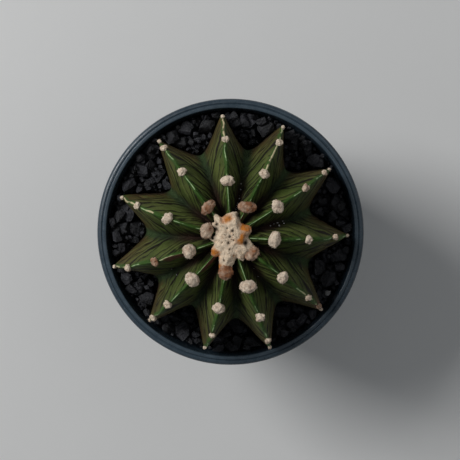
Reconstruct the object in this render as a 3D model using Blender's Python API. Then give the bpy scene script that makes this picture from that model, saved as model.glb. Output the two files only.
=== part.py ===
"""A round cactus with eleven sharp ribs, in a plain tapered plastic pot top-dressed with black lava grit.

Frame: metres, +Z up, origin on the pot's axis in the plane that its foot stands on.
Headings are degrees anticlockwise from +X, seen from above.
A polar angle runs down the plant: 0 at the crown, 90 at its widest girth, 180 at the base of its root.
"""

import math
import random

import bmesh
import bpy
from mathutils import Matrix, Vector, noise

MM = 0.001
GAP = 0.3 * MM  # left between two pieces that touch
BODY_CLEARANCE = 0.36 * MM  # the same, off the plant's sharply bent skin

# Pot
POT_TOP_DIAMETER = 91 * MM
POT_HEIGHT = 76 * MM
POT_BASE_DIAMETER = 67 * MM
RIM_WIDTH = 3.2 * MM  # of the rim's top, from the mouth to the outside of the bead
WALL = 1.3 * MM
COLLAR_THICKNESS = 1.9 * MM
COLLAR_HEIGHT = 11 * MM  # from the rim's top down to the step below the collar
BEAD_HEIGHT = 3.4 * MM
BEAD_ROUND = 1.4 * MM
BEAD_BELOW_LIP = 0.3 * MM
LIP_ROUND = 0.4 * MM
RIM_GROOVE_WIDTH = 0.5 * MM
RIM_GROOVE_DEPTH = 0.25 * MM
FOOT_HEIGHT = 3 * MM
FOOT_WIDTH = 4.5 * MM
BASE_THICKNESS = 1.5 * MM
POT_SEGMENTS = 64

# Drainage: a hole in the middle, a ring of holes round it, and notches through the foot
CENTRE_HOLE_DIAMETER = 10 * MM
RING_HOLE_DIAMETER = 9 * MM
RING_HOLE_COUNT = 4
RING_HOLE_DISTANCE = 19 * MM
NOTCH_WIDTH = 7 * MM
NOTCH_HEIGHT = 1.8 * MM
NOTCH_COUNT = 4

# Fill
GRIT_BELOW_RIM = 8 * MM
GRIT_DEPTH = 7 * MM
GRIT_BUMP = 0.7 * MM
GRIT_BUMP_SPACING = 5 * MM
GRIT_RINGS = (0.96, 0.86, 0.76, 0.66)  # shares of its radius at which its top can rise and fall
GRIT_SEGMENTS = 40
MIX_BEVEL = 1.5 * MM

# Plant
GIRTH_ABOVE_RIM = 1.5 * MM
CROWN_RISE = 30 * MM  # from the girth up to where the ribs would meet
CROWN_DIP = 5 * MM  # how far the woolly middle is sunk below that
CROWN_DIP_SPREAD = 14  # degrees of polar angle; the furrows' dip is a fifth narrower
FURROW_RISE = 23 * MM
RIB_DEPTH = 11.4 * MM  # from a rib's edge in to the furrow beside it, at the girth
BODY_DROP = 30 * MM  # from the girth down to where the body ends
KEEL_SHARPENS = (25, 85)  # polar angles over which the ribs turn from roofs to sharp keels
KEEL_HOLLOW = 0.8  # how hollow a keel's flanks are; at 0 they would be flat
RIBS_FADE = (112, 150)  # polar angles over which the buried ribs flatten out
ROOT_STARTS = 158  # polar angle
ROOT_RADIUS = 3 * MM
ROOT_LENGTH = 20 * MM
COLUMNS_PER_RIB = 8
COLUMN_CROWDING = 1.35  # above 1, columns stand closer together by the crests
BODY_ROWS = 24
ROOT_ROWS = 2

# Each rib, clockwise from the one at the back: its heading at the crown and at the girth, how far its edge
# stops short of the pot's mouth, how much deeper than RIB_DEPTH the furrow anticlockwise of it is, and its
# areoles from the crown down as (polar angle, width). Lengths in mm.
RIBS = (
    (93, 94, 2.3, 0, ((27, 4.5), (52, 2.7), (79, 2.0))),
    (61, 64, 2.3, 0, ((17, 5.4), (35, 3.6), (59, 2.7), (82, 2.0))),
    (33, 33, 2.7, 0, ((27, 4.6), (47, 2.8), (70, 2.2), (88, 1.7))),
    (357, 359, 3.0, 0.2, ((21, 5.0), (40, 2.9), (61, 2.3), (85, 1.8))),
    (324, 320, 2.4, 0, ((13, 5.0), (32, 4.0), (55, 2.4), (71, 2.2), (86, 1.8))),
    (290, 289, 1.3, 0.6, ((24, 5.4), (43, 3.4), (65, 2.4), (84, 1.8))),
    (263, 257, 2.5, 0, ((17, 5.0), (36, 4.2), (57, 2.3), (82, 1.8))),
    (228, 227, 2.1, 0.8, ((27, 5.0), (49, 3.0), (70, 2.4), (86, 1.8))),
    (199, 196, 1.4, 0, ((20, 5.0), (39, 3.0), (60, 2.6), (81, 2.0))),
    (165, 161, 3.6, 0, ((13, 5.0), (33, 4.0), (56, 2.5), (81, 2.0))),
    (126, 128, 3.2, 2.4, ((18, 5.0), (42, 3.1), (67, 2.6), (84, 2.0))),
)

# Areoles: pads of wool, as shares of their width
AREOLE_LENGTH = 0.92
AREOLE_THICKNESS = 0.72
AREOLE_STANDS_OUT = 0.06  # of its middle, above the rib's edge

# Crown wool
WOOL_SPREAD = 10  # the polar angle out to which it covers the ribs
WOOL_HEIGHT = 5 * MM
WOOL_STANDS_OUT = 3 * MM  # of its middle, above the floor of the sunken crown
WOOL_LUMPS = ((3, 0.10, 40), (5, 0.08, 100), (7, 0.05, 10))  # lobes, share of the radius, turn in degrees

# Loose stones, one in each gap between ribs but the one that holds the pale grain
STONE_SIZE = (4.6 * MM, 6.4 * MM, 4.0 * MM)  # out from the axis, round it, and up
STONE_CORNERS = 16
STONE_DISTANCE_FROM_WALL = 3.0 * MM  # to its middle
PALE_GRAIN_SIZE = (2.2 * MM, 2.6 * MM, 2.0 * MM)
PALE_GRAIN_HEADING = 328
PALE_GRAIN_DISTANCE_FROM_WALL = 1.8 * MM
PALE_GRAIN_GAP = 4  # the rib whose anticlockwise gap it lies in, counted as RIBS is from 0

# Worked out from the sizes above
RIM_RADIUS = POT_TOP_DIAMETER / 2
MOUTH_RADIUS = RIM_RADIUS - RIM_WIDTH
BASE_INNER_RADIUS = POT_BASE_DIAMETER / 2 - WALL
FLOOR_Z = FOOT_HEIGHT + BASE_THICKNESS
GRIT_TOP = POT_HEIGHT - GRIT_BELOW_RIM
GRIT_BOTTOM = GRIT_TOP - GRIT_DEPTH
GIRTH_Z = POT_HEIGHT + GIRTH_ABOVE_RIM


def clear_scene():
    for obj in list(bpy.data.objects):
        bpy.data.objects.remove(obj)


def material(name, colour, roughness, metallic=0.0):
    made = bpy.data.materials.new(name)
    made.use_nodes = True
    shader = made.node_tree.nodes["Principled BSDF"]
    shader.inputs["Base Color"].default_value = (*colour, 1)
    shader.inputs["Roughness"].default_value = roughness
    shader.inputs["Metallic"].default_value = metallic
    return made


def object_from(name, bm, finish, smooth_angle=None):
    """Makes the bmesh an object of the scene, with its own material."""
    mesh = bpy.data.meshes.new(name)
    bmesh.ops.recalc_face_normals(bm, faces=bm.faces)
    bm.to_mesh(mesh)
    bm.free()
    if smooth_angle is not None:
        mesh.shade_smooth()
        mesh.set_sharp_from_angle(angle=math.radians(smooth_angle))
    if finish is not None:
        mesh.materials.append(finish)
    obj = bpy.data.objects.new(name, mesh)
    bpy.context.scene.collection.objects.link(obj)
    return obj


def as_cutter(obj):
    obj.hide_render = True
    obj.display_type = "WIRE"
    return obj


def cut(obj, cutter):
    boolean = obj.modifiers.new("cut by " + cutter.name, "BOOLEAN")
    boolean.operation = "DIFFERENCE"
    boolean.solver = "EXACT"
    boolean.object = cutter


def turned(profile, segments):
    """A solid of revolution from (radius, height) points that start and end on the axis."""
    bm = bmesh.new()
    points = [bm.verts.new((radius, 0, height)) for radius, height in profile]
    edges = [bm.edges.new(pair) for pair in zip(points, points[1:])]
    bmesh.ops.spin(bm, geom=points + edges, cent=(0, 0, 0), axis=(0, 0, 1), angle=math.tau,
                   steps=segments, use_merge=True)
    bmesh.ops.remove_doubles(bm, verts=bm.verts, dist=1e-6)
    return bm


def around(radius, heading, height):
    """The point at this distance from the axis, heading in degrees and height."""
    angle = math.radians(heading)
    return Vector((radius * math.cos(angle), radius * math.sin(angle), height))


def pot_inner_radius(height):
    return BASE_INNER_RADIUS + (MOUTH_RADIUS - BASE_INNER_RADIUS) * height / POT_HEIGHT


def arc(centre_radius, centre_height, radius, start, end, steps):
    """Points of a round stretch of a profile, between two angles in degrees."""
    angles = [math.radians(start + (end - start) * i / steps) for i in range(steps + 1)]
    return [(centre_radius + radius * math.cos(a), centre_height + radius * math.sin(a)) for a in angles]


# The pot


def pot_profile():
    """From the middle of the underside out, up the outside, over the rim and down the inside."""
    foot_outer = BASE_INNER_RADIUS + WALL
    foot_edge = 0.6 * MM
    foot_draft = 0.4 * MM
    collar_z = POT_HEIGHT - COLLAR_HEIGHT
    collar_step = 0.8 * MM
    bead_z = POT_HEIGHT - BEAD_HEIGHT
    bead_step = 0.4 * MM
    floor_round = 1.2 * MM
    bead_top = POT_HEIGHT - BEAD_BELOW_LIP
    groove_bottom = bead_top - RIM_GROOVE_DEPTH
    groove_radius = RIM_RADIUS - BEAD_ROUND - RIM_GROOVE_WIDTH / 2
    under = [
        (0, FOOT_HEIGHT),
        (foot_outer - FOOT_WIDTH, FOOT_HEIGHT),
        (foot_outer - FOOT_WIDTH + foot_draft, 0),
    ]
    outside = [
        (foot_outer - foot_edge, 0),
        (foot_outer, foot_edge),
        (pot_inner_radius(collar_z) + WALL, collar_z),
        (pot_inner_radius(collar_z) + COLLAR_THICKNESS, collar_z + collar_step),
        (pot_inner_radius(bead_z) + COLLAR_THICKNESS, bead_z - bead_step),
        (RIM_RADIUS, bead_z + bead_step),
    ]
    bead = arc(RIM_RADIUS - BEAD_ROUND, bead_top - BEAD_ROUND, BEAD_ROUND, 0, 90, 4)
    groove = [
        (groove_radius, groove_bottom),
        (groove_radius - RIM_GROOVE_WIDTH / 2, POT_HEIGHT),
    ]
    lip = arc(MOUTH_RADIUS + LIP_ROUND, POT_HEIGHT - LIP_ROUND, LIP_ROUND, 90, 180, 3)
    inside = [
        (pot_inner_radius(FLOOR_Z + floor_round), FLOOR_Z + floor_round),
        (pot_inner_radius(FLOOR_Z) - floor_round, FLOOR_Z),
        (0, FLOOR_Z),
    ]
    return under + outside + bead + groove + lip + inside


def ring_hole_headings():
    return [360 * (i + 0.5) / RING_HOLE_COUNT for i in range(RING_HOLE_COUNT)]


def drainage_cutter():
    """Drill bits for the holes, and bars that notch the foot, all in one object."""
    bm = bmesh.new()
    drill_depth = 3 * FLOOR_Z
    holes = [(Vector((0, 0, 0)), CENTRE_HOLE_DIAMETER)]
    holes += [(around(RING_HOLE_DISTANCE, heading, 0), RING_HOLE_DIAMETER) for heading in ring_hole_headings()]
    for place, diameter in holes:
        bmesh.ops.create_cone(bm, cap_ends=True, segments=20, radius1=diameter / 2, radius2=diameter / 2,
                              depth=drill_depth, matrix=Matrix.Translation(place))
    notch_length = FOOT_WIDTH + 2 * MM
    for i in range(NOTCH_COUNT):
        heading = 360 * i / NOTCH_COUNT
        middle = around(POT_BASE_DIAMETER / 2 - FOOT_WIDTH / 2, heading, 0)
        size = Matrix.Diagonal((notch_length, NOTCH_WIDTH, 2 * NOTCH_HEIGHT, 1))
        turn = Matrix.Rotation(math.radians(heading), 4, "Z")
        bmesh.ops.create_cube(bm, size=1, matrix=Matrix.Translation(middle) @ turn @ size)
    return as_cutter(object_from("drainage_cutter", bm, None))


def build_pot(finish):
    pot = object_from("pot", turned(pot_profile(), POT_SEGMENTS), finish, smooth_angle=35)
    cut(pot, drainage_cutter())


# The plant's surface


def rib_reach(rib):
    """How far from the axis the rib's edge is at the girth. The plant has grown to fill its pot."""
    return MOUTH_RADIUS - RIBS[rib][2] * MM


def rib_heading(rib, polar):
    """Ribs run down a little aslant, as far as the girth."""
    crown, girth = RIBS[rib][:2]
    return crown + (girth - crown) * min(polar / 90, 1)


def next_rib(rib):
    """The rib anticlockwise of this one."""
    return (rib - 1) % len(RIBS)


def gap_heading(rib, share, polar):
    """The heading this share of the way from a rib to the next one."""
    start = rib_heading(rib, polar)
    return start + (rib_heading(next_rib(rib), polar) - start) % 360 * share


def crest_point(rib, polar):
    """(radius, height) of a rib's edge."""
    angle = math.radians(polar)
    drop = CROWN_RISE if polar < 90 else BODY_DROP
    dip = CROWN_DIP * math.exp(-((polar / CROWN_DIP_SPREAD) ** 2))
    return rib_reach(rib) * math.sin(angle), GIRTH_Z + drop * math.cos(angle) - dip


def furrow_point(rib, polar):
    """(radius, height) of the bottom of the furrow between a rib and the next one."""
    angle = math.radians(polar)
    radius = (rib_reach(rib) + rib_reach(next_rib(rib))) / 2 - RIB_DEPTH - RIBS[rib][3] * MM
    drop = FURROW_RISE if polar < 90 else BODY_DROP
    middle = (CROWN_RISE - CROWN_DIP - FURROW_RISE) * math.exp(-((polar / (0.8 * CROWN_DIP_SPREAD)) ** 2))
    return radius * math.sin(angle), GIRTH_Z + drop * math.cos(angle) + middle


def progress(value, limits):
    """How far a value has come between two limits, from 0 to 1."""
    return min(max((value - limits[0]) / (limits[1] - limits[0]), 0), 1)


def flank_share(across, polar):
    """How far up from furrow to crest the flank stands: 1 at the crest, where across is 0, and 0 in the furrow.
    The flanks are straight near the crown and hollow at the girth, where the ribs end in sharp keels."""
    roundness = 1 + KEEL_HOLLOW * progress(polar, KEEL_SHARPENS)
    return (1 - across) ** roundness * (1 - progress(polar, RIBS_FADE))


def surface_point(rib, share, polar):
    """A point of the plant's skin, this share of the way from a rib's crest to the next one's."""
    across = 1 - abs(1 - 2 * share)
    crest = crest_point(rib if share < 0.5 else next_rib(rib), polar)
    furrow = furrow_point(rib, polar)
    up = flank_share(across, polar)
    radius = furrow[0] + (crest[0] - furrow[0]) * up
    height = furrow[1] + (crest[1] - furrow[1]) * up
    return around(radius, gap_heading(rib, share, polar), height)


def column_shares():
    """Where the columns stand between two ribs, closest together by the sharp crests."""
    half = COLUMNS_PER_RIB // 2
    near = [0.5 * (i / half) ** COLUMN_CROWDING for i in range(half)]
    return near + [0.5] + [1 - share for share in reversed(near[1:])]


def plant_point(column, row):
    """The place of a vertex, counted round from the first rib and down from the crown."""
    rib = -(column // COLUMNS_PER_RIB) % len(RIBS)
    share = column_shares()[column % COLUMNS_PER_RIB]
    if row <= BODY_ROWS:
        return surface_point(rib, share, ROOT_STARTS * row / BODY_ROWS)
    last = surface_point(rib, share, ROOT_STARTS)
    sunk = (row - BODY_ROWS) / (ROOT_ROWS + 1)
    radius = math.hypot(last.x, last.y) * (1 - sunk) ** 2 + ROOT_RADIUS * math.sqrt(1 - sunk) * sunk
    return around(radius, gap_heading(rib, share, ROOT_STARTS), last.z - ROOT_LENGTH * sunk)


def plant_mesh():
    """A ball whose columns follow the ribs and whose rows run from crown to root, pressed into the ribbed shape."""
    columns = COLUMNS_PER_RIB * len(RIBS)
    rows = BODY_ROWS + ROOT_ROWS + 1
    bm = bmesh.new()
    bmesh.ops.create_uvsphere(bm, u_segments=columns, v_segments=rows, radius=1)
    for vert in bm.verts:
        row = round(math.acos(max(-1, min(1, vert.co.z))) / math.pi * rows)
        column = round(math.atan2(vert.co.y, vert.co.x) / math.tau * columns) % columns
        vert.co = plant_point(column, row)
    return bm


def build_body(finish):
    object_from("cactus_body", plant_mesh(), finish, smooth_angle=50)


def body_cutter():
    """The plant's shape made a clearance larger all over, to cut what lies against it."""
    cutter = as_cutter(object_from("body_clearance", plant_mesh(), None))
    swell = cutter.modifiers.new("clearance", "DISPLACE")
    swell.mid_level = 0
    swell.strength = BODY_CLEARANCE
    return cutter


# Wool


def crest_frame(rib, polar):
    """The matrix of a place on a rib's edge: X across the rib, Y down along the edge, Z out of the plant."""
    heading = rib_heading(rib, polar)
    here = around(crest_point(rib, polar)[0], heading, crest_point(rib, polar)[1])
    further = around(crest_point(rib, polar + 1)[0], heading, crest_point(rib, polar + 1)[1])
    along = (further - here).normalized()
    across = Vector((-math.sin(math.radians(heading)), math.cos(math.radians(heading)), 0))
    out = across.cross(along)
    axes = Matrix((across, along, out)).transposed().to_4x4()
    return Matrix.Translation(here) @ axes


def areole_mesh(width, larger=0.0):
    """A plump pad, a little wider than long."""
    bm = bmesh.new()
    radii = (width / 2, width * AREOLE_LENGTH / 2, width * AREOLE_THICKNESS / 2)
    size = Matrix.Diagonal([radius + larger for radius in radii] + [1])
    bmesh.ops.create_uvsphere(bm, u_segments=8, v_segments=6, radius=1, matrix=size)
    return bm


def areole_places():
    """(name, rib, polar angle, width) of each areole, the first on each rib nearest the crown."""
    places = []
    for rib, (*_, areoles) in enumerate(RIBS):
        for number, (polar, width) in enumerate(areoles):
            places.append((f"areole_rib{rib + 1:02d}_{'abcde'[number]}", rib, polar, width * MM))
    return places


def areole_matrix(rib, polar, width):
    return crest_frame(rib, polar) @ Matrix.Translation((0, 0, width * AREOLE_STANDS_OUT))


def build_areoles(finish, clearance):
    for name, rib, polar, width in areole_places():
        pad = object_from(name, areole_mesh(width), finish, smooth_angle=60)
        pad.matrix_world = areole_matrix(rib, polar, width)
        cut(pad, clearance)


def build_crown_wool(finish, clearance):
    """The woolly cushion that fills the sunken crown, hollowed where the innermost areoles stand."""
    wool_radius = sum(crest_point(rib, WOOL_SPREAD)[0] for rib in range(len(RIBS))) / len(RIBS)
    bm = bmesh.new()
    bmesh.ops.create_uvsphere(bm, u_segments=24, v_segments=8, radius=1)
    for vert in bm.verts:
        heading = math.atan2(vert.co.y, vert.co.x)
        lumps = (share * math.cos(lobes * heading + math.radians(turn)) for lobes, share, turn in WOOL_LUMPS)
        swell = 1 + sum(lumps)
        vert.co.x *= swell * wool_radius
        vert.co.y *= swell * wool_radius
        vert.co.z *= WOOL_HEIGHT / 2
    wool = object_from("crown_wool", bm, finish, smooth_angle=60)
    wool.location.z = crest_point(0, 0)[1] + WOOL_STANDS_OUT
    cut(wool, clearance)
    for name, rib, polar, width in areole_places():
        inner_edge = crest_point(rib, polar)[0] - width
        if inner_edge < wool_radius:
            cutter = as_cutter(object_from(name + "_clearance", areole_mesh(width, GAP), None))
            cutter.matrix_world = areole_matrix(rib, polar, width)
            cut(wool, cutter)


# Fill


def build_potting_mix(finish, clearance):
    top = GRIT_BOTTOM - GAP
    bottom = FLOOR_Z + GAP
    profile = [
        (0, bottom),
        (pot_inner_radius(bottom) - GAP - MIX_BEVEL, bottom),
        (pot_inner_radius(bottom + MIX_BEVEL) - GAP, bottom + MIX_BEVEL),
        (pot_inner_radius(top) - GAP, top),
        (0, top),
    ]
    mix = object_from("potting_mix", turned(profile, GRIT_SEGMENTS), finish, smooth_angle=35)
    cut(mix, clearance)


def build_grit(finish, clearance):
    outer = pot_inner_radius(GRIT_TOP) - GAP
    profile = [
        (0, GRIT_BOTTOM),
        (pot_inner_radius(GRIT_BOTTOM) - GAP, GRIT_BOTTOM),
        (outer, GRIT_TOP - GRIT_BUMP),
        *[(outer * ring, GRIT_TOP) for ring in GRIT_RINGS],
        (0, GRIT_TOP),
    ]
    bm = turned(profile, GRIT_SEGMENTS)
    for vert in bm.verts:
        if vert.co.z > GRIT_TOP - 0.5 * GRIT_BUMP:
            vert.co.z += GRIT_BUMP * noise.noise(vert.co / GRIT_BUMP_SPACING)
    grit = object_from("grit_layer", bm, finish, smooth_angle=25)
    cut(grit, clearance)


def chip(seed, size):
    """An angular crushed stone: the hull of points scattered on a flattened ball."""
    draw = random.Random(seed)
    bm = bmesh.new()
    for _ in range(STONE_CORNERS):
        way = Vector([draw.gauss(0, 1) for _ in range(3)]).normalized()
        bm.verts.new([c * s / 2 for c, s in zip(way, size)])
    hull = bmesh.ops.convex_hull(bm, input=bm.verts)
    loose = [part for part in hull["geom_interior"] if isinstance(part, bmesh.types.BMVert)]
    bmesh.ops.delete(bm, geom=loose, context="VERTS")
    return bm


def lay_stone(name, bm, finish, radius, heading):
    """Stands a stone on the highest that the grit may reach, its lowest corner a gap above it."""
    bmesh.ops.rotate(bm, verts=bm.verts, matrix=Matrix.Rotation(math.radians(heading), 3, "Z"))
    lowest = min(vert.co.z for vert in bm.verts)
    stone = object_from(name, bm, finish)
    stone.location = around(radius, heading, GRIT_TOP + GRIT_BUMP + GAP - lowest)


def build_stones(grit_finish, pale_finish):
    wall = pot_inner_radius(GRIT_TOP)
    gaps = [rib for rib in range(len(RIBS)) if rib != PALE_GRAIN_GAP]
    for number, rib in enumerate(gaps):
        heading = gap_heading(rib, 0.5, 90)
        name = f"grit_stone_{number + 1:02d}"
        lay_stone(name, chip(number, STONE_SIZE), grit_finish, wall - STONE_DISTANCE_FROM_WALL, heading)
    lay_stone("pumice_grain", chip(50, PALE_GRAIN_SIZE), pale_finish,
              wall - PALE_GRAIN_DISTANCE_FROM_WALL, PALE_GRAIN_HEADING)


def main():
    clear_scene()
    build_pot(material("slate_blue_plastic", (0.045, 0.062, 0.078), 0.45))
    build_body(material("cactus_skin", (0.05, 0.085, 0.022), 0.5))
    clearance = body_cutter()
    build_areoles(material("areole_wool", (0.55, 0.45, 0.34), 0.95), clearance)
    build_crown_wool(material("crown_wool", (0.55, 0.42, 0.29), 0.95), clearance)
    build_potting_mix(material("potting_mix", (0.03, 0.02, 0.014), 0.95), clearance)
    grit = material("black_lava", (0.014, 0.014, 0.016), 0.75)
    build_grit(grit, clearance)
    build_stones(grit, material("pumice", (0.42, 0.40, 0.37), 0.9))


main()
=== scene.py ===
# %% [markdown]
# # A round cactus in its pot
#
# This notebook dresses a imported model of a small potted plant: a round cactus with eleven sharp ribs and no
# spines, in a slate-blue plastic pot, with crushed black lava strewn over its potting mix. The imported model
# already has the right sizes and places. What it lacks is what the eye looks for: felted wool, skin with
# growth lines, hundreds of stones, and plastic with a moulded rim. Each step below makes one of them.
#
# Lengths are written in millimetres and turned into metres by `MM`. Headings are degrees anticlockwise from
# +X, seen from above. A polar angle runs down the plant: 0 at the crown, 90 at the girth, 180 at the root.

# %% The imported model
import math
import random

import bmesh
import bpy
import numpy as np
from mathutils import Matrix, Vector, noise


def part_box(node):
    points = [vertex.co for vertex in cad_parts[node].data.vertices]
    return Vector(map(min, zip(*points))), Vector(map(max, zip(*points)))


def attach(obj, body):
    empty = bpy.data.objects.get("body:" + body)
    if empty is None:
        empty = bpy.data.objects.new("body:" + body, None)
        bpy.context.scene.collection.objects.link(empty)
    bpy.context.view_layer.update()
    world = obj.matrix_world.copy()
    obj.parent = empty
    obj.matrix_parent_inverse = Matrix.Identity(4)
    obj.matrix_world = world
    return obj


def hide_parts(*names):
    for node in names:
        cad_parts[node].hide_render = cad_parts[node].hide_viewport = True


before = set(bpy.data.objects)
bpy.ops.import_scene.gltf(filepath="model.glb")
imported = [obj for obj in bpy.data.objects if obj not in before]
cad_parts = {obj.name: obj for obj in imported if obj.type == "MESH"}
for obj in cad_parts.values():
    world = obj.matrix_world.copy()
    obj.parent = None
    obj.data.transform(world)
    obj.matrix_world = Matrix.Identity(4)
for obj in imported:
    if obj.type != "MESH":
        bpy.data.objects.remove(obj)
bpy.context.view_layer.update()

MM = 0.001

# %% [markdown]
# ## Camera, floor and light
#
# A plant like this shows its star best from straight above, so the camera hangs half a metre over the rim and
# looks down, leaning three degrees. A long lens keeps the round rim round. The floor is one pale sheet. One
# large soft light stands behind and to the left, so each rib has a lit flank and a shaded one, and a faint
# even sky keeps the shaded flanks from going black.

# %% Camera
POT_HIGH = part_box("pot")[1]
RIM_Z = POT_HIGH.z / MM
RIM_RADIUS = POT_HIGH.x / MM
CAMERA_TILT = math.radians(3)
CAMERA_DISTANCE = 500
CAMERA_AIM = Vector((-0.2, 0.9, RIM_Z))
CAMERA_LENS = 115

scene = bpy.context.scene
scene.view_settings.view_transform = "Standard"
camera = bpy.data.objects.new("camera", bpy.data.cameras.new("camera"))
camera.data.lens = CAMERA_LENS
camera.data.sensor_width = 36
camera.data.clip_end = 20
camera_way = Vector((0, math.sin(CAMERA_TILT), math.cos(CAMERA_TILT)))
camera.location = MM * (CAMERA_AIM + CAMERA_DISTANCE * camera_way)
camera.rotation_euler = (-CAMERA_TILT, 0, 0)
scene.collection.objects.link(camera)
scene.camera = camera
print(f"camera {camera.location.z:.3f} m above the floor")


# %% Lights
def soft_light(name, heading, elevation, distance, size, power):
    """A square area light at this heading and elevation, facing the plant; distance and size in metres."""
    light = bpy.data.lights.new(name, "AREA")
    light.size = size
    light.energy = power
    lamp = bpy.data.objects.new(name, light)
    along, up = math.radians(heading), math.radians(elevation)
    way = Vector((math.cos(along) * math.cos(up), math.sin(along) * math.cos(up), math.sin(up)))
    lamp.location = way * distance
    lamp.rotation_euler = (-way).to_track_quat("-Z", "Y").to_euler()
    scene.collection.objects.link(lamp)
    return lamp


soft_light("key_light", 151, 46, 1.2, 0.45, 8.5)
soft_light("fill_light", 20, 50, 1.5, 1.2, 1.4)
world = bpy.data.worlds.new("studio")
world.use_nodes = True
sky = world.node_tree.nodes["Background"]
sky.inputs["Color"].default_value = (0.9, 0.95, 1, 1)
sky.inputs["Strength"].default_value = 0.14
scene.world = world


# %% [markdown]
# ## Small helpers for shader trees
#
# Every finish below is a tree of shader nodes. Written out in full, a tree buries the idea under wiring, so
# these few helpers take the wiring away: `add` makes a node and fills its inputs, each from a plain value or
# from another node's output, and the others are the sums and mixes that come back again and again.


# %% Shader helpers
def add(tree, kind, inputs=None, **settings):
    """A new node, its settings made and its inputs filled or linked. Inputs are named or numbered."""
    made = tree.nodes.new(kind)
    for name, value in settings.items():
        setattr(made, name, value)
    for name, value in (inputs or {}).items():
        if isinstance(value, bpy.types.NodeSocket):
            tree.links.new(value, made.inputs[name])
        else:
            made.inputs[name].default_value = value
    return made


def sums(tree, operation, first, second=0.0, third=0.0, clamp=False):
    """The result of a Math node."""
    values = {0: first, 1: second, 2: third}
    return add(tree, "ShaderNodeMath", values, operation=operation, use_clamp=clamp).outputs[0]


def rescale(tree, value, low, high, to_low=0.0, to_high=1.0):
    """Maps one range to another smoothly, and holds the ends."""
    limits = {"Value": value, "From Min": low, "From Max": high, "To Min": to_low, "To Max": to_high}
    return add(tree, "ShaderNodeMapRange", limits, interpolation_type="SMOOTHSTEP").outputs["Result"]


def mixed(tree, mask, first, second, blend_type="MIX"):
    """Two colours, mixed by a mask: the first where it is 0, the second where it is 1."""
    pair = {0: mask, 6: first, 7: second}
    return add(tree, "ShaderNodeMix", pair, data_type="RGBA", blend_type=blend_type).outputs[2]


def clouds(tree, vector, scale, detail=2.0, roughness=0.5):
    """Soft noise from 0 to 1."""
    look = {"Vector": vector, "Scale": scale, "Detail": detail, "Roughness": roughness}
    return add(tree, "ShaderNodeTexNoise", look).outputs["Fac"]


def attribute(tree, name):
    """A number that was written on each vertex."""
    return add(tree, "ShaderNodeAttribute", attribute_name=name).outputs["Fac"]


def in_millimetres(tree):
    """The place in millimetres, so that a pattern's scale reads as features per millimetre."""
    in_metres = add(tree, "ShaderNodeTexCoord").outputs["Object"]
    both = {0: in_metres, 1: (1000, 1000, 1000)}
    return add(tree, "ShaderNodeVectorMath", both, operation="MULTIPLY").outputs[0]


def new_material(name):
    """An empty finish: its tree, its Principled shader and the place in millimetres."""
    finish = bpy.data.materials.new(name)
    finish.use_nodes = True
    tree = finish.node_tree
    return finish, tree, tree.nodes["Principled BSDF"], in_millimetres(tree)


def bump(tree, height, distance, strength=1.0, normal=None):
    """A Bump node's normal. The distance is in millimetres."""
    values = {"Height": height, "Distance": distance * MM, "Strength": strength}
    if normal is not None:
        values["Normal"] = normal
    return add(tree, "ShaderNodeBump", values).outputs["Normal"]


def new_group(name, inputs, outputs):
    """A shader node group with named sockets: its tree, its input node and its output node."""
    group = bpy.data.node_groups.new(name, "ShaderNodeTree")
    for socket, kind in inputs.items():
        group.interface.new_socket(socket, in_out="INPUT", socket_type=kind)
    for socket, kind in outputs.items():
        group.interface.new_socket(socket, in_out="OUTPUT", socket_type=kind)
    return group, group.nodes.new("NodeGroupInput"), group.nodes.new("NodeGroupOutput")


def grouped(tree, group, inputs):
    """The outputs of a group placed in a material with its own values."""
    placed = tree.nodes.new("ShaderNodeGroup")
    placed.node_tree = group
    for name, value in inputs.items():
        if isinstance(value, bpy.types.NodeSocket):
            tree.links.new(value, placed.inputs[name])
        else:
            placed.inputs[name].default_value = value
    return placed.outputs


FLOAT = "NodeSocketFloat"
VECTOR = "NodeSocketVector"
print("helpers ready")

# %% [markdown]
# ## Two effects that several finishes share
#
# Real surfaces are never one colour. **Mottle** lightens and darkens a finish in soft clouds of two sizes.
# **Dust** is the pale grit that settles on everything in a greenhouse: small specks, closer together in
# patches. Both are node groups, so each finish places them with its own values.


# %% Mottle and dust
def mottle_group():
    """A shade around 1, to multiply a colour by."""
    group, given, result = new_group(
        "Mottle",
        {"Place": VECTOR, "Features per mm": FLOAT, "Contrast": FLOAT},
        {"Shade": FLOAT},
    )
    place, scale = given.outputs["Place"], given.outputs["Features per mm"]
    broad = clouds(group, place, scale, 3)
    fine = clouds(group, place, sums(group, "MULTIPLY", scale, 5.3), 4, 0.6)
    both = sums(group, "ADD", broad, sums(group, "MULTIPLY", fine, 0.5))
    centred = sums(group, "SUBTRACT", both, 0.75)
    shade = sums(group, "MULTIPLY_ADD", centred, given.outputs["Contrast"], 1.0)
    group.links.new(shade, result.inputs["Shade"])
    return group


def dust_group():
    """A mask of small round specks, some left out, larger where clouds say so."""
    group, given, result = new_group(
        "Dust",
        {"Place": VECTOR, "Specks per mm": FLOAT, "Amount": FLOAT},
        {"Mask": FLOAT},
    )
    place = given.outputs["Place"]
    cells = add(group, "ShaderNodeTexVoronoi", {"Vector": place, "Scale": given.outputs["Specks per mm"]})
    size = sums(group, "MULTIPLY", clouds(group, place, 0.25, 2), given.outputs["Amount"])
    speck = sums(group, "LESS_THAN", cells.outputs["Distance"], size)
    chance = add(group, "ShaderNodeSeparateColor", {"Color": cells.outputs["Color"]}).outputs[0]
    chosen = sums(group, "GREATER_THAN", chance, 0.45)
    group.links.new(sums(group, "MULTIPLY", speck, chosen), result.inputs["Mask"])
    return group


MOTTLE = mottle_group()
DUST = dust_group()
print(MOTTLE.name, DUST.name)


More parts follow.
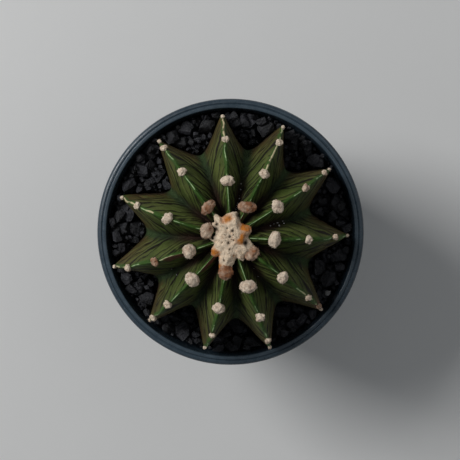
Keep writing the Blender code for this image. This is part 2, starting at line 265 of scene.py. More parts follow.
# %% [markdown]
# ## Getting meshes into the scene
#
# All pieces are modelled with bmesh in millimetres and scaled to metres as they enter the scene, so the
# numbers in the code are ones that a ruler shows. `finish_piece` also does the bookkeeping: the piece rides
# on the model's one body, stands for the plain nodes that it replaces, and names its material slot.


# %% Piece helpers
def mesh_object(name, bm, smooth_angle=None):
    """Makes a bmesh in millimetres an object in metres, at the origin."""
    bmesh.ops.scale(bm, vec=(MM, MM, MM), verts=bm.verts)
    mesh = bpy.data.meshes.new(name)
    bm.to_mesh(mesh)
    bm.free()
    if smooth_angle is not None:
        mesh.shade_smooth()
        mesh.set_sharp_from_angle(angle=math.radians(smooth_angle))
    made = bpy.data.objects.new(name, mesh)
    scene.collection.objects.link(made)
    return made


def finish_piece(piece, finish, stands_for):
    """Gives a piece its material, and its place in the model."""
    piece.data.materials.clear()
    piece.data.materials.append(finish)
    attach(piece, "root")
    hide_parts(*stands_for)
    return piece


def polar_place(radius, heading, height):
    """A place in millimetres, from its distance and heading from the axis and its height."""
    angle = math.radians(heading)
    return Vector((radius * math.cos(angle), radius * math.sin(angle), height))


def progress(value, low, high):
    """How far value has come from low to high, held between 0 and 1."""
    return min(max((value - low) / (high - low), 0), 1)


def bell(distance, width):
    """1 at no distance, and falling off smoothly to both sides."""
    return math.exp(-((distance / width) ** 2))


# %% [markdown]
# ## The floor
#
# One pale sheet, six metres across, so that its edges lie far beyond the pot. It is not part of the model, so
# it is staged and not finished as a piece.


# %% The floor
FLOOR_COLOUR = (0.78, 0.78, 0.77, 1)


def floor_material():
    finish, tree, shader, place = new_material("pale_floor")
    shade = grouped(tree, MOTTLE, {"Place": place, "Features per mm": 0.02, "Contrast": 0.03})["Shade"]
    tree.links.new(mixed(tree, 1.0, FLOOR_COLOUR, shade, "MULTIPLY"), shader.inputs["Base Color"])
    shader.inputs["Roughness"].default_value = 0.6
    return finish


floor_bm = bmesh.new()
bmesh.ops.create_grid(floor_bm, x_segments=1, y_segments=1, size=3000)
floor = mesh_object("floor", floor_bm)
floor.data.materials.append(floor_material())
print("floor laid")

# %% [markdown]
# ## The shape of the plant
#
# A ribbed cactus can be seen as a ball whose meridians have been pulled out into edges and pushed in between
# them. Two curves describe it: the **crest**, a rib's edge seen from the side, and the **furrow** between two
# ribs. Between the two, a flank stands up like a tent near the crown and like a ship's keel at the girth.
#
# So the mesh starts as a plain ball with its columns bunched up where the edges will be, and each vertex is
# moved to where the two curves put it. That keeps clean rows and columns, and every vertex knows how far it
# is from the crest and how far down the plant, which the skin's finish will use.

# %% Sizes of the plant
MOUTH_RADIUS = 42.3
GIRTH_Z = RIM_Z + 1.5
CROWN_RISE = 30
CROWN_DIP = 5
CROWN_DIP_SPREAD = 14
FURROW_RISE = 23
RIB_DEPTH = 11.4
BODY_DROP = 30
ROOT_RADIUS = 3
ROOT_LENGTH = 20
EDGE_ROUNDNESS = 0.035  # of a rib's edge, as a share of its flank

# Each rib, clockwise from the one at the back: its heading at the crown and at the girth, how far its edge
# stops short of the pot's mouth, how much deeper the furrow anticlockwise of it is than the rest, and its
# areoles from the crown down as (polar angle, width).
RIBS = (
    (93, 94, 2.3, 0, ((27, 4.5), (52, 2.7), (79, 2.0))),
    (61, 64, 2.3, 0, ((17, 5.4), (35, 3.6), (59, 2.7), (82, 2.0))),
    (33, 33, 2.7, 0, ((27, 4.6), (47, 2.8), (70, 2.2), (88, 1.7))),
    (357, 359, 3.0, 0.2, ((21, 5.0), (40, 2.9), (61, 2.3), (85, 1.8))),
    (324, 320, 2.4, 0, ((13, 5.0), (32, 4.0), (55, 2.4), (71, 2.2), (86, 1.8))),
    (290, 289, 1.3, 0.6, ((24, 5.4), (43, 3.4), (65, 2.4), (84, 1.8))),
    (263, 257, 2.5, 0, ((17, 5.0), (36, 4.2), (57, 2.3), (82, 1.8))),
    (228, 227, 2.1, 0.8, ((27, 5.0), (49, 3.0), (70, 2.4), (86, 1.8))),
    (199, 196, 1.4, 0, ((20, 5.0), (39, 3.0), (60, 2.6), (81, 2.0))),
    (165, 161, 3.6, 0, ((13, 5.0), (33, 4.0), (56, 2.5), (81, 2.0))),
    (126, 128, 3.2, 2.4, ((18, 5.0), (42, 3.1), (67, 2.6), (84, 2.0))),
)
print(len(RIBS), "ribs,", sum(len(rib[4]) for rib in RIBS), "areoles")


# %% Crest and furrow
def reach(rib):
    """How far out from the axis a rib's edge stands at the girth."""
    return MOUTH_RADIUS - RIBS[rib][2]


def rib_heading(rib, polar):
    """Where a rib's edge runs: from its heading at the crown to the one at the girth, not quite straight."""
    crown, girth = RIBS[rib][:2]
    wobble = 0.9 * noise.noise(Vector((rib * 7.3, polar / 8, 0))) * progress(polar, 12, 30)
    return crown + (girth - crown) * min(polar / 90, 1) + wobble


def next_rib(rib):
    """The rib anticlockwise of this one."""
    return (rib - 1) % len(RIBS)


def gap_heading(rib, share, polar):
    """A heading between a rib and the next one, at this share of the way."""
    start = rib_heading(rib, polar)
    return start + (rib_heading(next_rib(rib), polar) - start) % 360 * share


def edge_swell(rib, polar):
    """A rib's edge is nicked where an areole sits and swells into a chin below it."""
    swell = 0
    for areole, _ in RIBS[rib][4]:
        swell += 0.4 * bell(polar - areole - 7, 4.5) - 0.5 * bell(polar - areole, 2.6)
    return swell * progress(polar, 8, 16) * (1 - progress(polar, 80, 95))


def crest_point(rib, polar):
    """(radius, height) of a rib's edge, in millimetres."""
    angle = math.radians(polar)
    drop = CROWN_RISE if polar < 90 else BODY_DROP
    dip = CROWN_DIP * bell(polar, CROWN_DIP_SPREAD)
    return reach(rib) * math.sin(angle), GIRTH_Z + drop * math.cos(angle) - dip


def furrow_point(rib, polar):
    """(radius, height) of the bottom of the furrow between a rib and the next one."""
    angle = math.radians(polar)
    radius = (reach(rib) + reach(next_rib(rib))) / 2 - RIB_DEPTH - RIBS[rib][3]
    drop = FURROW_RISE if polar < 90 else BODY_DROP
    middle = (CROWN_RISE - CROWN_DIP - FURROW_RISE) * bell(polar, 0.8 * CROWN_DIP_SPREAD)
    return radius * math.sin(angle), GIRTH_Z + drop * math.cos(angle) + middle


def flank_share(across, polar):
    """How far up from furrow to crest the flank stands, 1 at the crest."""
    rounded = math.hypot(across, EDGE_ROUNDNESS) - EDGE_ROUNDNESS * (1 - across)
    power = 1 + 0.8 * progress(polar, 25, 85)
    return max(1 - rounded, 0) ** power * (1 - progress(polar, 112, 150))


def skin_point(rib, share, polar):
    """A point of the skin, and how far across the flank and from the crest it lies."""
    across = 1 - abs(1 - 2 * share)
    nearest = rib if share < 0.5 else next_rib(rib)
    crest, furrow = crest_point(nearest, polar), furrow_point(rib, polar)
    up = flank_share(across, polar)
    swell = edge_swell(nearest, polar) * up ** 4
    angle = math.radians(polar)
    radius = furrow[0] + (crest[0] - furrow[0]) * up + swell * math.sin(angle)
    height = furrow[1] + (crest[1] - furrow[1]) * up + swell * math.cos(angle)
    place = polar_place(radius, gap_heading(rib, share, polar), height)
    edge = polar_place(crest[0], rib_heading(nearest, polar), crest[1])
    return place, across, (place - edge).length


print("girth", [round(reach(rib), 1) for rib in range(len(RIBS))])


# %% Rows and columns
COLUMNS_PER_RIB = 40
HALF = COLUMNS_PER_RIB // 2
SHARES = [0.5 * (i / HALF) ** 1.35 for i in range(HALF)]
SHARES += [0.5] + [1 - share for share in reversed(SHARES[1:])]
POLARS = [0.75 * i for i in range(160)] + [120 + 3.8 * i for i in range(11)]
ROOT_ROWS = 6
ROWS = len(POLARS) - 1 + ROOT_ROWS + 1
print(COLUMNS_PER_RIB * len(RIBS), "columns,", ROWS, "rows")

# %% Marks of age
# Stretches of a rib's edge that have gone corky and pale, as (rib, from, to) with polar angles, and how much.
CORKY = (
    (1, 54, 79, 1.0), (2, 37, 57, 0.9), (2, 60, 80, 0.5), (10, 40, 48, 0.9), (10, 58, 80, 0.9),
    (5, 46, 54, 0.7), (9, 26, 38, 0.5), (9, 62, 80, 0.7), (5, 57, 70, 0.5), (3, 74, 86, 0.4),
    (4, 62, 70, 0.3), (6, 66, 84, 0.3),
)
# Healed wounds beside an edge, as (rib, from, to, side, how far they reach). The side is 1 for
# anticlockwise and -1 for clockwise.
SCARS = (
    (9, 24, 34, 1, 2.6), (8, 11, 21, 1, 2.4), (5, 70, 84, 1, 2.0), (5, 68, 84, -1, 1.6),
    (4, 84, 95, -1, 1.6), (6, 82, 92, 1, 1.2), (11, 76, 86, -1, 1.0), (2, 9, 14, -1, 1.4),
)


def scarring(rib, side, polar, away):
    """How far a place beside a rib's edge has healed over, from 0 to 1."""
    found = [0]
    for number, low, high, where, reached in SCARS:
        if number == rib + 1 and where == side:
            along = progress(polar, low - 2, low + 1) * (1 - progress(polar, high - 1, high + 2))
            ragged = away + 1.2 * noise.noise(Vector((polar / 3, rib * 5, away)))
            found.append(along * (1 - progress(ragged, reached - 0.5, reached + 0.3)))
    return max(found)


def corkiness(rib, polar):
    """How corky a rib's edge is, from 0 to 1."""
    found = [0]
    for number, low, high, much in CORKY:
        if number == rib + 1:
            found.append(much * progress(polar, low - 3, low + 3) * (1 - progress(polar, high - 3, high + 3)))
    return max(found)


print(len(CORKY), "corky stretches,", len(SCARS), "scars")

# %% The skin's mesh
WRITTEN = ("across", "polar", "from_crest", "corky", "scar")


def body_mesh():
    """The pressed ball, with what the finish needs to know written on each vertex."""
    columns = COLUMNS_PER_RIB * len(RIBS)
    bm = bmesh.new()
    bmesh.ops.create_uvsphere(bm, u_segments=columns, v_segments=ROWS, radius=1)
    layers = {name: bm.verts.layers.float.new(name) for name in WRITTEN}
    for vert in bm.verts:
        row = round(math.acos(max(-1, min(1, vert.co.z))) / math.pi * ROWS)
        column = round(math.atan2(vert.co.y, vert.co.x) / math.tau * columns) % columns
        rib = -(column // COLUMNS_PER_RIB) % len(RIBS)
        share = SHARES[column % COLUMNS_PER_RIB]
        polar = POLARS[min(row, len(POLARS) - 1)]
        place, across, away = skin_point(rib, share, polar)
        if row >= len(POLARS):
            sunk = (row - len(POLARS) + 1) / (ROOT_ROWS + 1)
            width = math.hypot(place.x, place.y) * (1 - sunk) ** 2 + ROOT_RADIUS * math.sqrt(1 - sunk) * sunk
            place = polar_place(width, gap_heading(rib, share, polar), place.z - ROOT_LENGTH * sunk)
        vert.co = place
        vert[layers["across"]] = across
        vert[layers["polar"]] = polar
        vert[layers["from_crest"]] = away
        nearest, side = (rib, 1) if share < 0.5 else (next_rib(rib), -1)
        vert[layers["corky"]] = corkiness(nearest, polar)
        vert[layers["scar"]] = scarring(nearest, side, polar, away)
    return bm, layers


def swell_skin(bm, layers):
    """Presses shallow folds into the flanks, and makes the flanks a little uneven."""
    bm.normal_update()
    for vert in bm.verts:
        polar, across = vert[layers["polar"]], vert[layers["across"]]
        shown = progress(polar, 8, 20) * (1 - progress(polar, 105, 120)) * across * (1.6 - across)
        folds = math.sin((polar + 45 * across) * 0.75 + 3 * noise.noise(vert.co / 9))
        uneven = noise.noise(vert.co / 6)
        vert.co += vert.normal * shown * (0.10 * folds + 0.35 * uneven)


body_bm, body_layers = body_mesh()
swell_skin(body_bm, body_layers)
body = mesh_object("cactus_skin", body_bm)
body.data.shade_smooth()
print("skin:", len(body.data.polygons), "faces")

# %% [markdown]
# ## Skin
#
# The skin is a matt olive green. Its marks follow the ribs, so they are drawn from what each vertex knows
# about itself and not from its place in space:
#
# - dark **growth lines** leave a rib's edge near the tip and sweep down the flank towards the furrow,
#   here and there with a branch;
# - the **edge** itself is a thin pale line in a brighter green band, and corky cream where it has aged;
# - the tips turn **bronze**; the furrows are darkened with painted shade, and near the crown they turn
#   a dark **red-brown**, partly the young skin's own colour and partly painted shade.


# %% Growth lines
def growth_lines_group():
    """Dark lines at uneven steps of the polar angle plus a share of the way across the flank.

    Mask is 1 on a line. Band is a shade that each strip between two lines has for itself. Fold rises from the
    middle of a line to the middle of a strip.
    """
    group, given, result = new_group(
        "Growth lines",
        {"Place": VECTOR, "Polar": FLOAT, "Across": FLOAT, "Slope": FLOAT,
         "Lines per degree": FLOAT, "Width": FLOAT},
        {"Mask": FLOAT, "Band": FLOAT, "Fold": FLOAT},
    )
    place = given.outputs["Place"]
    waver = sums(group, "MULTIPLY", sums(group, "SUBTRACT", clouds(group, place, 0.10, 2), 0.5), 20)
    slant = sums(group, "MULTIPLY", given.outputs["Across"], given.outputs["Slope"])
    along = sums(group, "ADD", sums(group, "ADD", given.outputs["Polar"], slant), waver)
    turns = sums(group, "MULTIPLY", along, given.outputs["Lines per degree"])
    drift = add(group, "ShaderNodeTexNoise", {"W": turns, "Scale": 0.7, "Detail": 1.0}, noise_dimensions="1D")
    uneven = sums(group, "MULTIPLY_ADD", drift.outputs["Fac"], 2.2, turns)
    off_line = sums(group, "ABSOLUTE", sums(group, "SUBTRACT", sums(group, "FRACT", uneven), 0.5))
    swelling = rescale(group, clouds(group, place, 0.3, 2), 0.32, 0.68, 0.6, 1.3)
    width = sums(group, "MULTIPLY", given.outputs["Width"], swelling)
    line = rescale(group, off_line, sums(group, "MULTIPLY", width, 0.3), width, 1.0, 0.0)
    broken = rescale(group, clouds(group, place, 0.2, 2), 0.26, 0.40)
    group.links.new(sums(group, "MULTIPLY", line, broken), result.inputs["Mask"])
    group.links.new(drift.outputs["Fac"], result.inputs["Band"])
    group.links.new(off_line, result.inputs["Fold"])
    return group


GROWTH_LINES = growth_lines_group()
print(GROWTH_LINES.name)

# %% Skin colours
OLIVE = (0.058, 0.082, 0.017, 1)
# Painted shade: the flanks turn this deeper green towards the furrows.
FLANK_SHADE_GREEN = (0.026, 0.050, 0.012, 1)
SAGE = (0.092, 0.112, 0.029, 1)
EDGE_GREEN = (0.034, 0.088, 0.013, 1)
EDGE_LINE = (0.36, 0.50, 0.25, 1)
CORK = (0.60, 0.50, 0.30, 1)
BRONZE = (0.082, 0.048, 0.016, 1)
RIM_BROWN = (0.036, 0.020, 0.012, 1)
# Painted shade for the bottoms of the furrows: near black by the crown, dark green lower down.
FURROW_SHADE_DARK = (0.012, 0.022, 0.008, 1)
FURROW_SHADE_GREEN = (0.032, 0.062, 0.021, 1)
# Partly the young skin's own red-brown, partly painted shade.
FURROW_BROWN_AND_SHADE = (0.028, 0.012, 0.008, 1)
LINE_BROWN = (0.007, 0.0045, 0.0035, 1)
SCAR_BROWN = (0.110, 0.045, 0.030, 1)
PALE_DUST = (0.25, 0.28, 0.18, 1)
print("colours mixed")


# %% The green between the lines
def flank_green(tree, place, across, polar, streaks):
    """Mottled green, bronze at the tips, with painted shade: a deeper green down the flank, dark in the
    furrows.
    """
    green = mixed(tree, rescale(tree, clouds(tree, place, 0.12, 3), 0.35, 0.65), OLIVE, SAGE)
    # Painted shade: the green deepens across the flank towards the furrow.
    green = mixed(tree, sums(tree, "MULTIPLY", rescale(tree, across, 0.45, 1.0), 0.85), green, FLANK_SHADE_GREEN)
    streaky = rescale(tree, streaks, 0.30, 0.55, 0.35, 1.0)
    tip = sums(tree, "MULTIPLY", rescale(tree, polar, 44, 78), streaky)
    green = mixed(tree, sums(tree, "MULTIPLY", tip, 0.85), green, BRONZE)
    low_edge = sums(tree, "MULTIPLY", rescale(tree, polar, 70, 88), rescale(tree, across, 0.05, 0.3))
    green = mixed(tree, sums(tree, "MULTIPLY", low_edge, 0.8), green, RIM_BROWN)
    # Painted shade: the bottom of each furrow is painted dark, near black by the crown and dark green lower
    # down.
    furrow_shade = rescale(tree, sums(tree, "MULTIPLY_ADD", clouds(tree, place, 0.4, 2), 0.2, across), 0.80, 1.02)
    furrow_shade_colour = mixed(tree, rescale(tree, polar, 48, 72), FURROW_SHADE_DARK, FURROW_SHADE_GREEN)
    green = mixed(tree, sums(tree, "MULTIPLY", furrow_shade, 0.9), green, furrow_shade_colour)
    # Near the crown the inner flanks of the furrows turn dark red-brown: partly the skin's own colour, partly
    # painted shade.
    young_skin_and_shade = sums(tree, "MULTIPLY", rescale(tree, polar, 50, 24), rescale(tree, across, 0.40, 0.85))
    return mixed(tree, sums(tree, "MULTIPLY", young_skin_and_shade, 0.92), green, FURROW_BROWN_AND_SHADE)


# %% Lines and edge
def all_lines(tree, main, branch, fine, across, away):
    """The mask of every line: main ones, branches and faint ones, fading at the edge and in the furrow."""
    bold = sums(tree, "MULTIPLY", main["Mask"], 0.95)
    lines = sums(tree, "MAXIMUM", bold, sums(tree, "MULTIPLY", fine["Mask"], 0.2))
    lines = sums(tree, "MAXIMUM", lines, sums(tree, "MULTIPLY", branch["Mask"], 0.85))
    lines = sums(tree, "MULTIPLY", lines, rescale(tree, away, 0.5, 1.3))
    return sums(tree, "MULTIPLY", lines, rescale(tree, across, 0.98, 0.80, 0.25, 1.0))


def edge_line(tree, ragged, polar, corky):
    """The mask of the pale line on a rib's edge, wider where it is corky and gone below the grit."""
    width = sums(tree, "MULTIPLY_ADD", corky, 0.22, 0.11)
    edge = rescale(tree, ragged, sums(tree, "ADD", width, 0.12), sums(tree, "SUBTRACT", width, 0.08))
    return sums(tree, "MULTIPLY", edge, rescale(tree, polar, 110, 96))


print("masks ready")


# %% Skin material
def skin_material():
    finish, tree, shader, place = new_material("ribbed_skin")
    across, polar = attribute(tree, "across"), attribute(tree, "polar")
    away, corky = attribute(tree, "from_crest"), attribute(tree, "corky")
    # The lines stand closer together near the crown, and are finer where the flanks are steep.
    closer = sums(tree, "MULTIPLY_ADD", polar, -0.0065, 1.9)
    width = rescale(tree, polar, 40, 82, 0.15, 0.09)
    flank = {"Place": place, "Polar": sums(tree, "MULTIPLY", polar, closer), "Across": across}
    main = grouped(tree, GROWTH_LINES, {**flank, "Slope": 24.0, "Lines per degree": 0.085, "Width": width})
    branch = grouped(tree, GROWTH_LINES, {**flank, "Slope": 8.0, "Lines per degree": 0.045, "Width": 0.065})
    fine = grouped(tree, GROWTH_LINES, {**flank, "Slope": 27.0, "Lines per degree": 0.42, "Width": 0.16})
    lines = all_lines(tree, main, branch, fine, across, away)
    green = flank_green(tree, place, across, polar, fine["Band"])
    green = mixed(tree, lines, green, LINE_BROWN)

    wander = sums(tree, "MULTIPLY", sums(tree, "SUBTRACT", clouds(tree, place, 0.9, 2), 0.5), 0.5)
    ragged = sums(tree, "ADD", away, wander)
    band = rescale(tree, ragged, 1.45, 0.6)
    green = mixed(tree, sums(tree, "MULTIPLY", band, 0.85), green, EDGE_GREEN)
    edge = edge_line(tree, ragged, polar, corky)
    worn = rescale(tree, clouds(tree, place, 0.5, 2), 0.15, 0.38, 0.35, 1.0)
    green = mixed(tree, sums(tree, "MULTIPLY", edge, worn), green, mixed(tree, corky, EDGE_LINE, CORK))
    green = mixed(tree, attribute(tree, "scar"), green, SCAR_BROWN)
    shade = grouped(tree, MOTTLE, {"Place": place, "Features per mm": 0.22, "Contrast": 0.7})["Shade"]
    colour = mixed(tree, 1.0, green, shade, "MULTIPLY")
    specks = grouped(tree, DUST, {"Place": place, "Specks per mm": 1.5, "Amount": 0.30})["Mask"]
    colour = mixed(tree, sums(tree, "MULTIPLY", specks, 0.22), colour, PALE_DUST)
    tree.links.new(colour, shader.inputs["Base Color"])

    rough = rescale(tree, clouds(tree, place, 0.7, 3), 0.3, 0.7, 0.50, 0.64)
    matt = sums(tree, "MAXIMUM", edge, rescale(tree, across, 0.7, 1.0))
    tree.links.new(sums(tree, "MULTIPLY_ADD", matt, 0.25, rough), shader.inputs["Roughness"])
    shader.inputs["Specular IOR Level"].default_value = 0.16
    pores = add(tree, "ShaderNodeTexVoronoi", {"Vector": place, "Scale": 3.5}).outputs["Distance"]
    relief = bump(tree, pores, 0.05, 0.35)
    relief = bump(tree, main["Fold"], 0.5, 1.1, relief)
    relief = bump(tree, sums(tree, "SUBTRACT", 1.0, lines), 0.12, 0.8, relief)
    relief = bump(tree, clouds(tree, place, 1.6, 4, 0.6), 0.12, 0.5, relief)
    tree.links.new(relief, shader.inputs["Normal"])
    return finish


finish_piece(body, skin_material(), ["cactus_body"])
print("skin finished")

# %% [markdown]
# ## Wool
#
# An areole is a cactus's cushion: spines, flowers and offsets all start there. This plant has no spines, only
# short dense wool, like felt. A smooth pad with a felt texture would look like a pill, so each pad gets a
# lumpy surface and a coat of real hairs, each a thin three-sided strand that curls over.
#
# The hair is modelled once, as a cone cut across twice so that it can bend, and then laid down many times.

# %% One hair
HAIR_SIDES = 3


def hair_template():
    """An upright hair 1 tall and 1 in radius, standing on the origin."""
    bm = bmesh.new()
    upright = Matrix.Translation((0, 0, 0.5))
    bmesh.ops.create_cone(bm, cap_ends=True, segments=HAIR_SIDES, radius1=1, radius2=0.35, depth=1,
                          matrix=upright)
    for height in (0.33, 0.67):
        everything = bm.verts[:] + bm.edges[:] + bm.faces[:]
        bmesh.ops.bisect_plane(bm, geom=everything, plane_co=(0, 0, height), plane_no=(0, 0, 1))
    mesh = bpy.data.meshes.new("hair")
    bm.to_mesh(mesh)
    bm.free()
    return mesh


HAIR = hair_template()


def lay_hair(bm, root, outward, length, thickness, draw):
    """Adds one hair that leaves its root along outward, more or less, and curls over."""
    count = len(bm.verts)
    bm.from_mesh(HAIR)
    bm.verts.ensure_lookup_table()
    side = Vector([draw.gauss(0, 1) for _ in range(3)])
    way = (outward.normalized() + 0.8 * side).normalized()
    turn = way.to_track_quat("Z", "X")
    curl = Vector((draw.gauss(0, 0.5), draw.gauss(0, 0.5), -0.35)) * length
    for vert in bm.verts[count:]:
        along = vert.co.z
        bent = Vector((vert.co.x * thickness, vert.co.y * thickness, along * length)) + curl * along * along
        vert.co = root + turn @ bent


print(len(HAIR.vertices), "vertices in a hair")

# %% [markdown]
# The wool's colour runs from cream to rust. How rusty a pad is, is written on its vertices, so one finish
# serves the whole plant: the youngest pads, by the crown, are the rustiest, and rain bleaches the older ones.


# %% Wool material
CREAM = (0.76, 0.63, 0.49, 1)
RUST = (0.26, 0.11, 0.050, 1)
# Painted shade for the pits in the crown's felt.
PIT_SHADE = (0.020, 0.014, 0.008, 1)


def wool_material(name, cream, rust):
    """Felt of two colours. Numbers on each vertex say where it is rusty, and where a pit is painted dark as
    shade.
    """
    finish, tree, shader, place = new_material(name)
    shade = grouped(tree, MOTTLE, {"Place": place, "Features per mm": 0.9, "Contrast": 1.15})["Shade"]
    patchy = sums(tree, "MULTIPLY", sums(tree, "SUBTRACT", clouds(tree, place, 0.55, 3), 0.5), 1.6)
    rusty = sums(tree, "ADD", attribute(tree, "rust"), patchy, clamp=True)
    colour = mixed(tree, rusty, cream, rust)
    # Painted shade: the pits are darkened to a near-black brown.
    colour = mixed(tree, attribute(tree, "pit_shade"), colour, PIT_SHADE)
    specks = grouped(tree, DUST, {"Place": place, "Specks per mm": 1.5, "Amount": 0.42})["Mask"]
    colour = mixed(tree, sums(tree, "MULTIPLY", specks, 0.6), colour, rust)
    tree.links.new(mixed(tree, 1.0, colour, shade, "MULTIPLY"), shader.inputs["Base Color"])
    rough = rescale(tree, clouds(tree, place, 2, 2), 0.2, 0.8, 0.85, 1.0)
    tree.links.new(rough, shader.inputs["Roughness"])
    shader.inputs["Sheen Weight"].default_value = 0.06
    shader.inputs["Sheen Roughness"].default_value = 0.5
    shader.inputs["Specular IOR Level"].default_value = 0.2
    felt = bump(tree, clouds(tree, place, 7, 4, 0.7), 0.10, 0.7)
    tree.links.new(bump(tree, clouds(tree, place, 2.2, 3), 0.25, 0.6, felt), shader.inputs["Normal"])
    return finish


AREOLE_WOOL = wool_material("areole_felt", CREAM, RUST)
print(AREOLE_WOOL.name)

# %% Sizes of the areoles
# All but the first are shares of an areole's width.
HAIR_RADIUS = 0.021
AREOLE_SIZE = 0.46
AREOLE_LENGTH = 0.92
AREOLE_THICKNESS = 0.72
AREOLE_STANDS_OUT = 0.06

# How a pad looks: how rusty it is, how much wider and longer than its size says, how far it is turned
# (degrees) and how far it has crept towards the crown (mm).
PLAIN_PAD = (0.08, 1.0, 1.0, 0, 0)
TIP_PAD = (0.0, 0.68, 0.8, 0, 0)
AREOLE_LOOKS = {
    "rib01_a": (0.10, 1.05, 0.85, 0, 0),
    "rib02_a": (0.80, 1.22, 0.80, 19, 0.5),
    "rib03_b": (0.35, 0.9, 1.1, 0, 0),
    "rib04_a": (0.05, 1.20, 0.88, -8, 0),
    "rib04_c": (0.25, 0.9, 0.9, 0, 0),
    "rib05_a": (0.70, 1.08, 1.05, 0, 0.5),
    "rib05_d": (0.60, 0.9, 1.3, 0, 0),
    "rib06_a": (0.12, 1.12, 0.92, -12, 0),
    "rib07_a": (0.95, 1.0, 1.2, 0, 0.4),
    "rib08_a": (0.08, 1.1, 1.0, -8, 0),
    "rib08_b": (0.08, 1.05, 1.05, 0, 0),
    "rib09_a": (0.22, 1.0, 1.0, 0, 0),
    "rib09_b": (0.75, 1.0, 0.9, 0, 0),
    "rib10_a": (0.50, 1.15, 1.0, 0, 0.7),
    "rib10_b": (0.05, 1.1, 0.92, -15, 0),
    "rib11_a": (0.85, 1.16, 0.80, 9, 0),
}
print(len(AREOLE_LOOKS), "pads differ from the plain one")


# %% Areole pads
def crest_axes(rib, polar):
    """The matrix of a place on a rib's edge: X across the rib, Y down along the edge, Z out of the plant."""
    heading = rib_heading(rib, polar)
    here = polar_place(crest_point(rib, polar)[0], heading, crest_point(rib, polar)[1])
    further = polar_place(crest_point(rib, polar + 1)[0], heading, crest_point(rib, polar + 1)[1])
    along = (further - here).normalized()
    across = Vector((math.sin(math.radians(heading)), -math.cos(math.radians(heading)), 0))
    axes = Matrix((across, along, across.cross(along))).transposed().to_4x4()
    return Matrix.Translation(here) @ axes


def woolly_pad(name, matrix, radii, rust, hairs, hair_length, draw):
    """A lumpy felt pad with its coat of hairs."""
    bm = bmesh.new()
    bmesh.ops.create_icosphere(bm, subdivisions=4, radius=1)
    seed = Vector([draw.uniform(-50, 50) for _ in range(3)])
    roots = []
    for vert in bm.verts:
        way = vert.co.copy()
        place = Vector([way[i] * radii[i] for i in range(3)])
        lump = 0.34 * noise.noise(place / 1.1 + seed) + 0.24 * noise.noise(place / 0.45 + seed)
        vert.co = place * (1 + lump * min(1, 1.2 / max(radii)) * 1.2)
        if way.z > -0.25:
            roots.append((vert.co.copy(), way))
    for root, way in draw.choices(roots, k=hairs):
        lay_hair(bm, root * 0.95, way, hair_length * draw.uniform(0.5, 1.1), HAIR_RADIUS, draw)
    bmesh.ops.recalc_face_normals(bm, faces=bm.faces)
    layer = bm.verts.layers.float.new("rust")
    bm.verts.layers.float.new("pit_shade")
    for vert in bm.verts:
        vert[layer] = rust
    bmesh.ops.transform(bm, matrix=matrix, verts=bm.verts)
    pad = mesh_object(name, bm)
    pad.data.shade_smooth()
    return pad


print("pads ready")


# %% The areoles
def grow_areoles():
    """A pad of its own for every areole of every rib."""
    draw = random.Random(4)
    made = []
    for rib, (*_, areoles) in enumerate(RIBS):
        for number, (polar, width) in enumerate(areoles):
            name = f"rib{rib + 1:02d}_{'abcde'[number]}"
            plain = PLAIN_PAD if polar < 78 else TIP_PAD
            rust, wider, longer, turned, crept = AREOLE_LOOKS.get(name, plain)
            thick = AREOLE_THICKNESS * (1 - 0.25 * (polar < 20))
            half = AREOLE_SIZE * width
            radii = (half * wider, half * AREOLE_LENGTH * longer, width * thick / 2)
            matrix = crest_axes(rib, polar) @ Matrix.Translation((0, -crept, width * AREOLE_STANDS_OUT))
            turn = Matrix.Rotation(math.radians(turned) + draw.uniform(-0.1, 0.1), 4, "Z")
            hairs = int(50 + 16 * width * width * wider * longer)
            pad = woolly_pad(f"wool_{name}", matrix @ turn, radii, rust, hairs, 0.22 + 0.06 * width, draw)
            made.append(finish_piece(pad, AREOLE_WOOL, [f"areole_{name}"]))
    return made


pads = grow_areoles()
print(len(pads), "areoles,", sum(len(pad.data.polygons) for pad in pads), "faces")

# %% [markdown]
# ## The crown
#
# New areoles are born so close together at the crown that their wool runs into one cushion. It fills the
# dip in the middle, creeps out between the innermost pads in lobes, is rusty where it is youngest, and has
# small pits where the felt has opened, painted dark as shade.

# %% Sizes of the crown
CROWN_CENTRE = Vector((0.1, -0.2, GIRTH_Z + CROWN_RISE - CROWN_DIP + 2.2))
CROWN_RADIUS = 5.7
CROWN_THICKNESS = 3.9
CROWN_HAIRS = 2200
CROWN_CREAM = (0.76, 0.61, 0.45, 1)
CROWN_RUST = (0.52, 0.18, 0.028, 1)

# How far the wool creeps out, as (heading, further than the radius, width in degrees).
LOBES = (
    (95, 2.3, 22), (126, 3.6, 8), (75, 1.9, 9), (26, 1.8, 14), (344, 1.5, 8), (323, 3.9, 13),
    (298, 2.6, 9), (278, 1.2, 9), (258, 7.0, 15), (222, 2.8, 13), (205, 0.3, 10), (183, 1.2, 7),
    (160, -0.3, 8), (142, 2.0, 6),
)
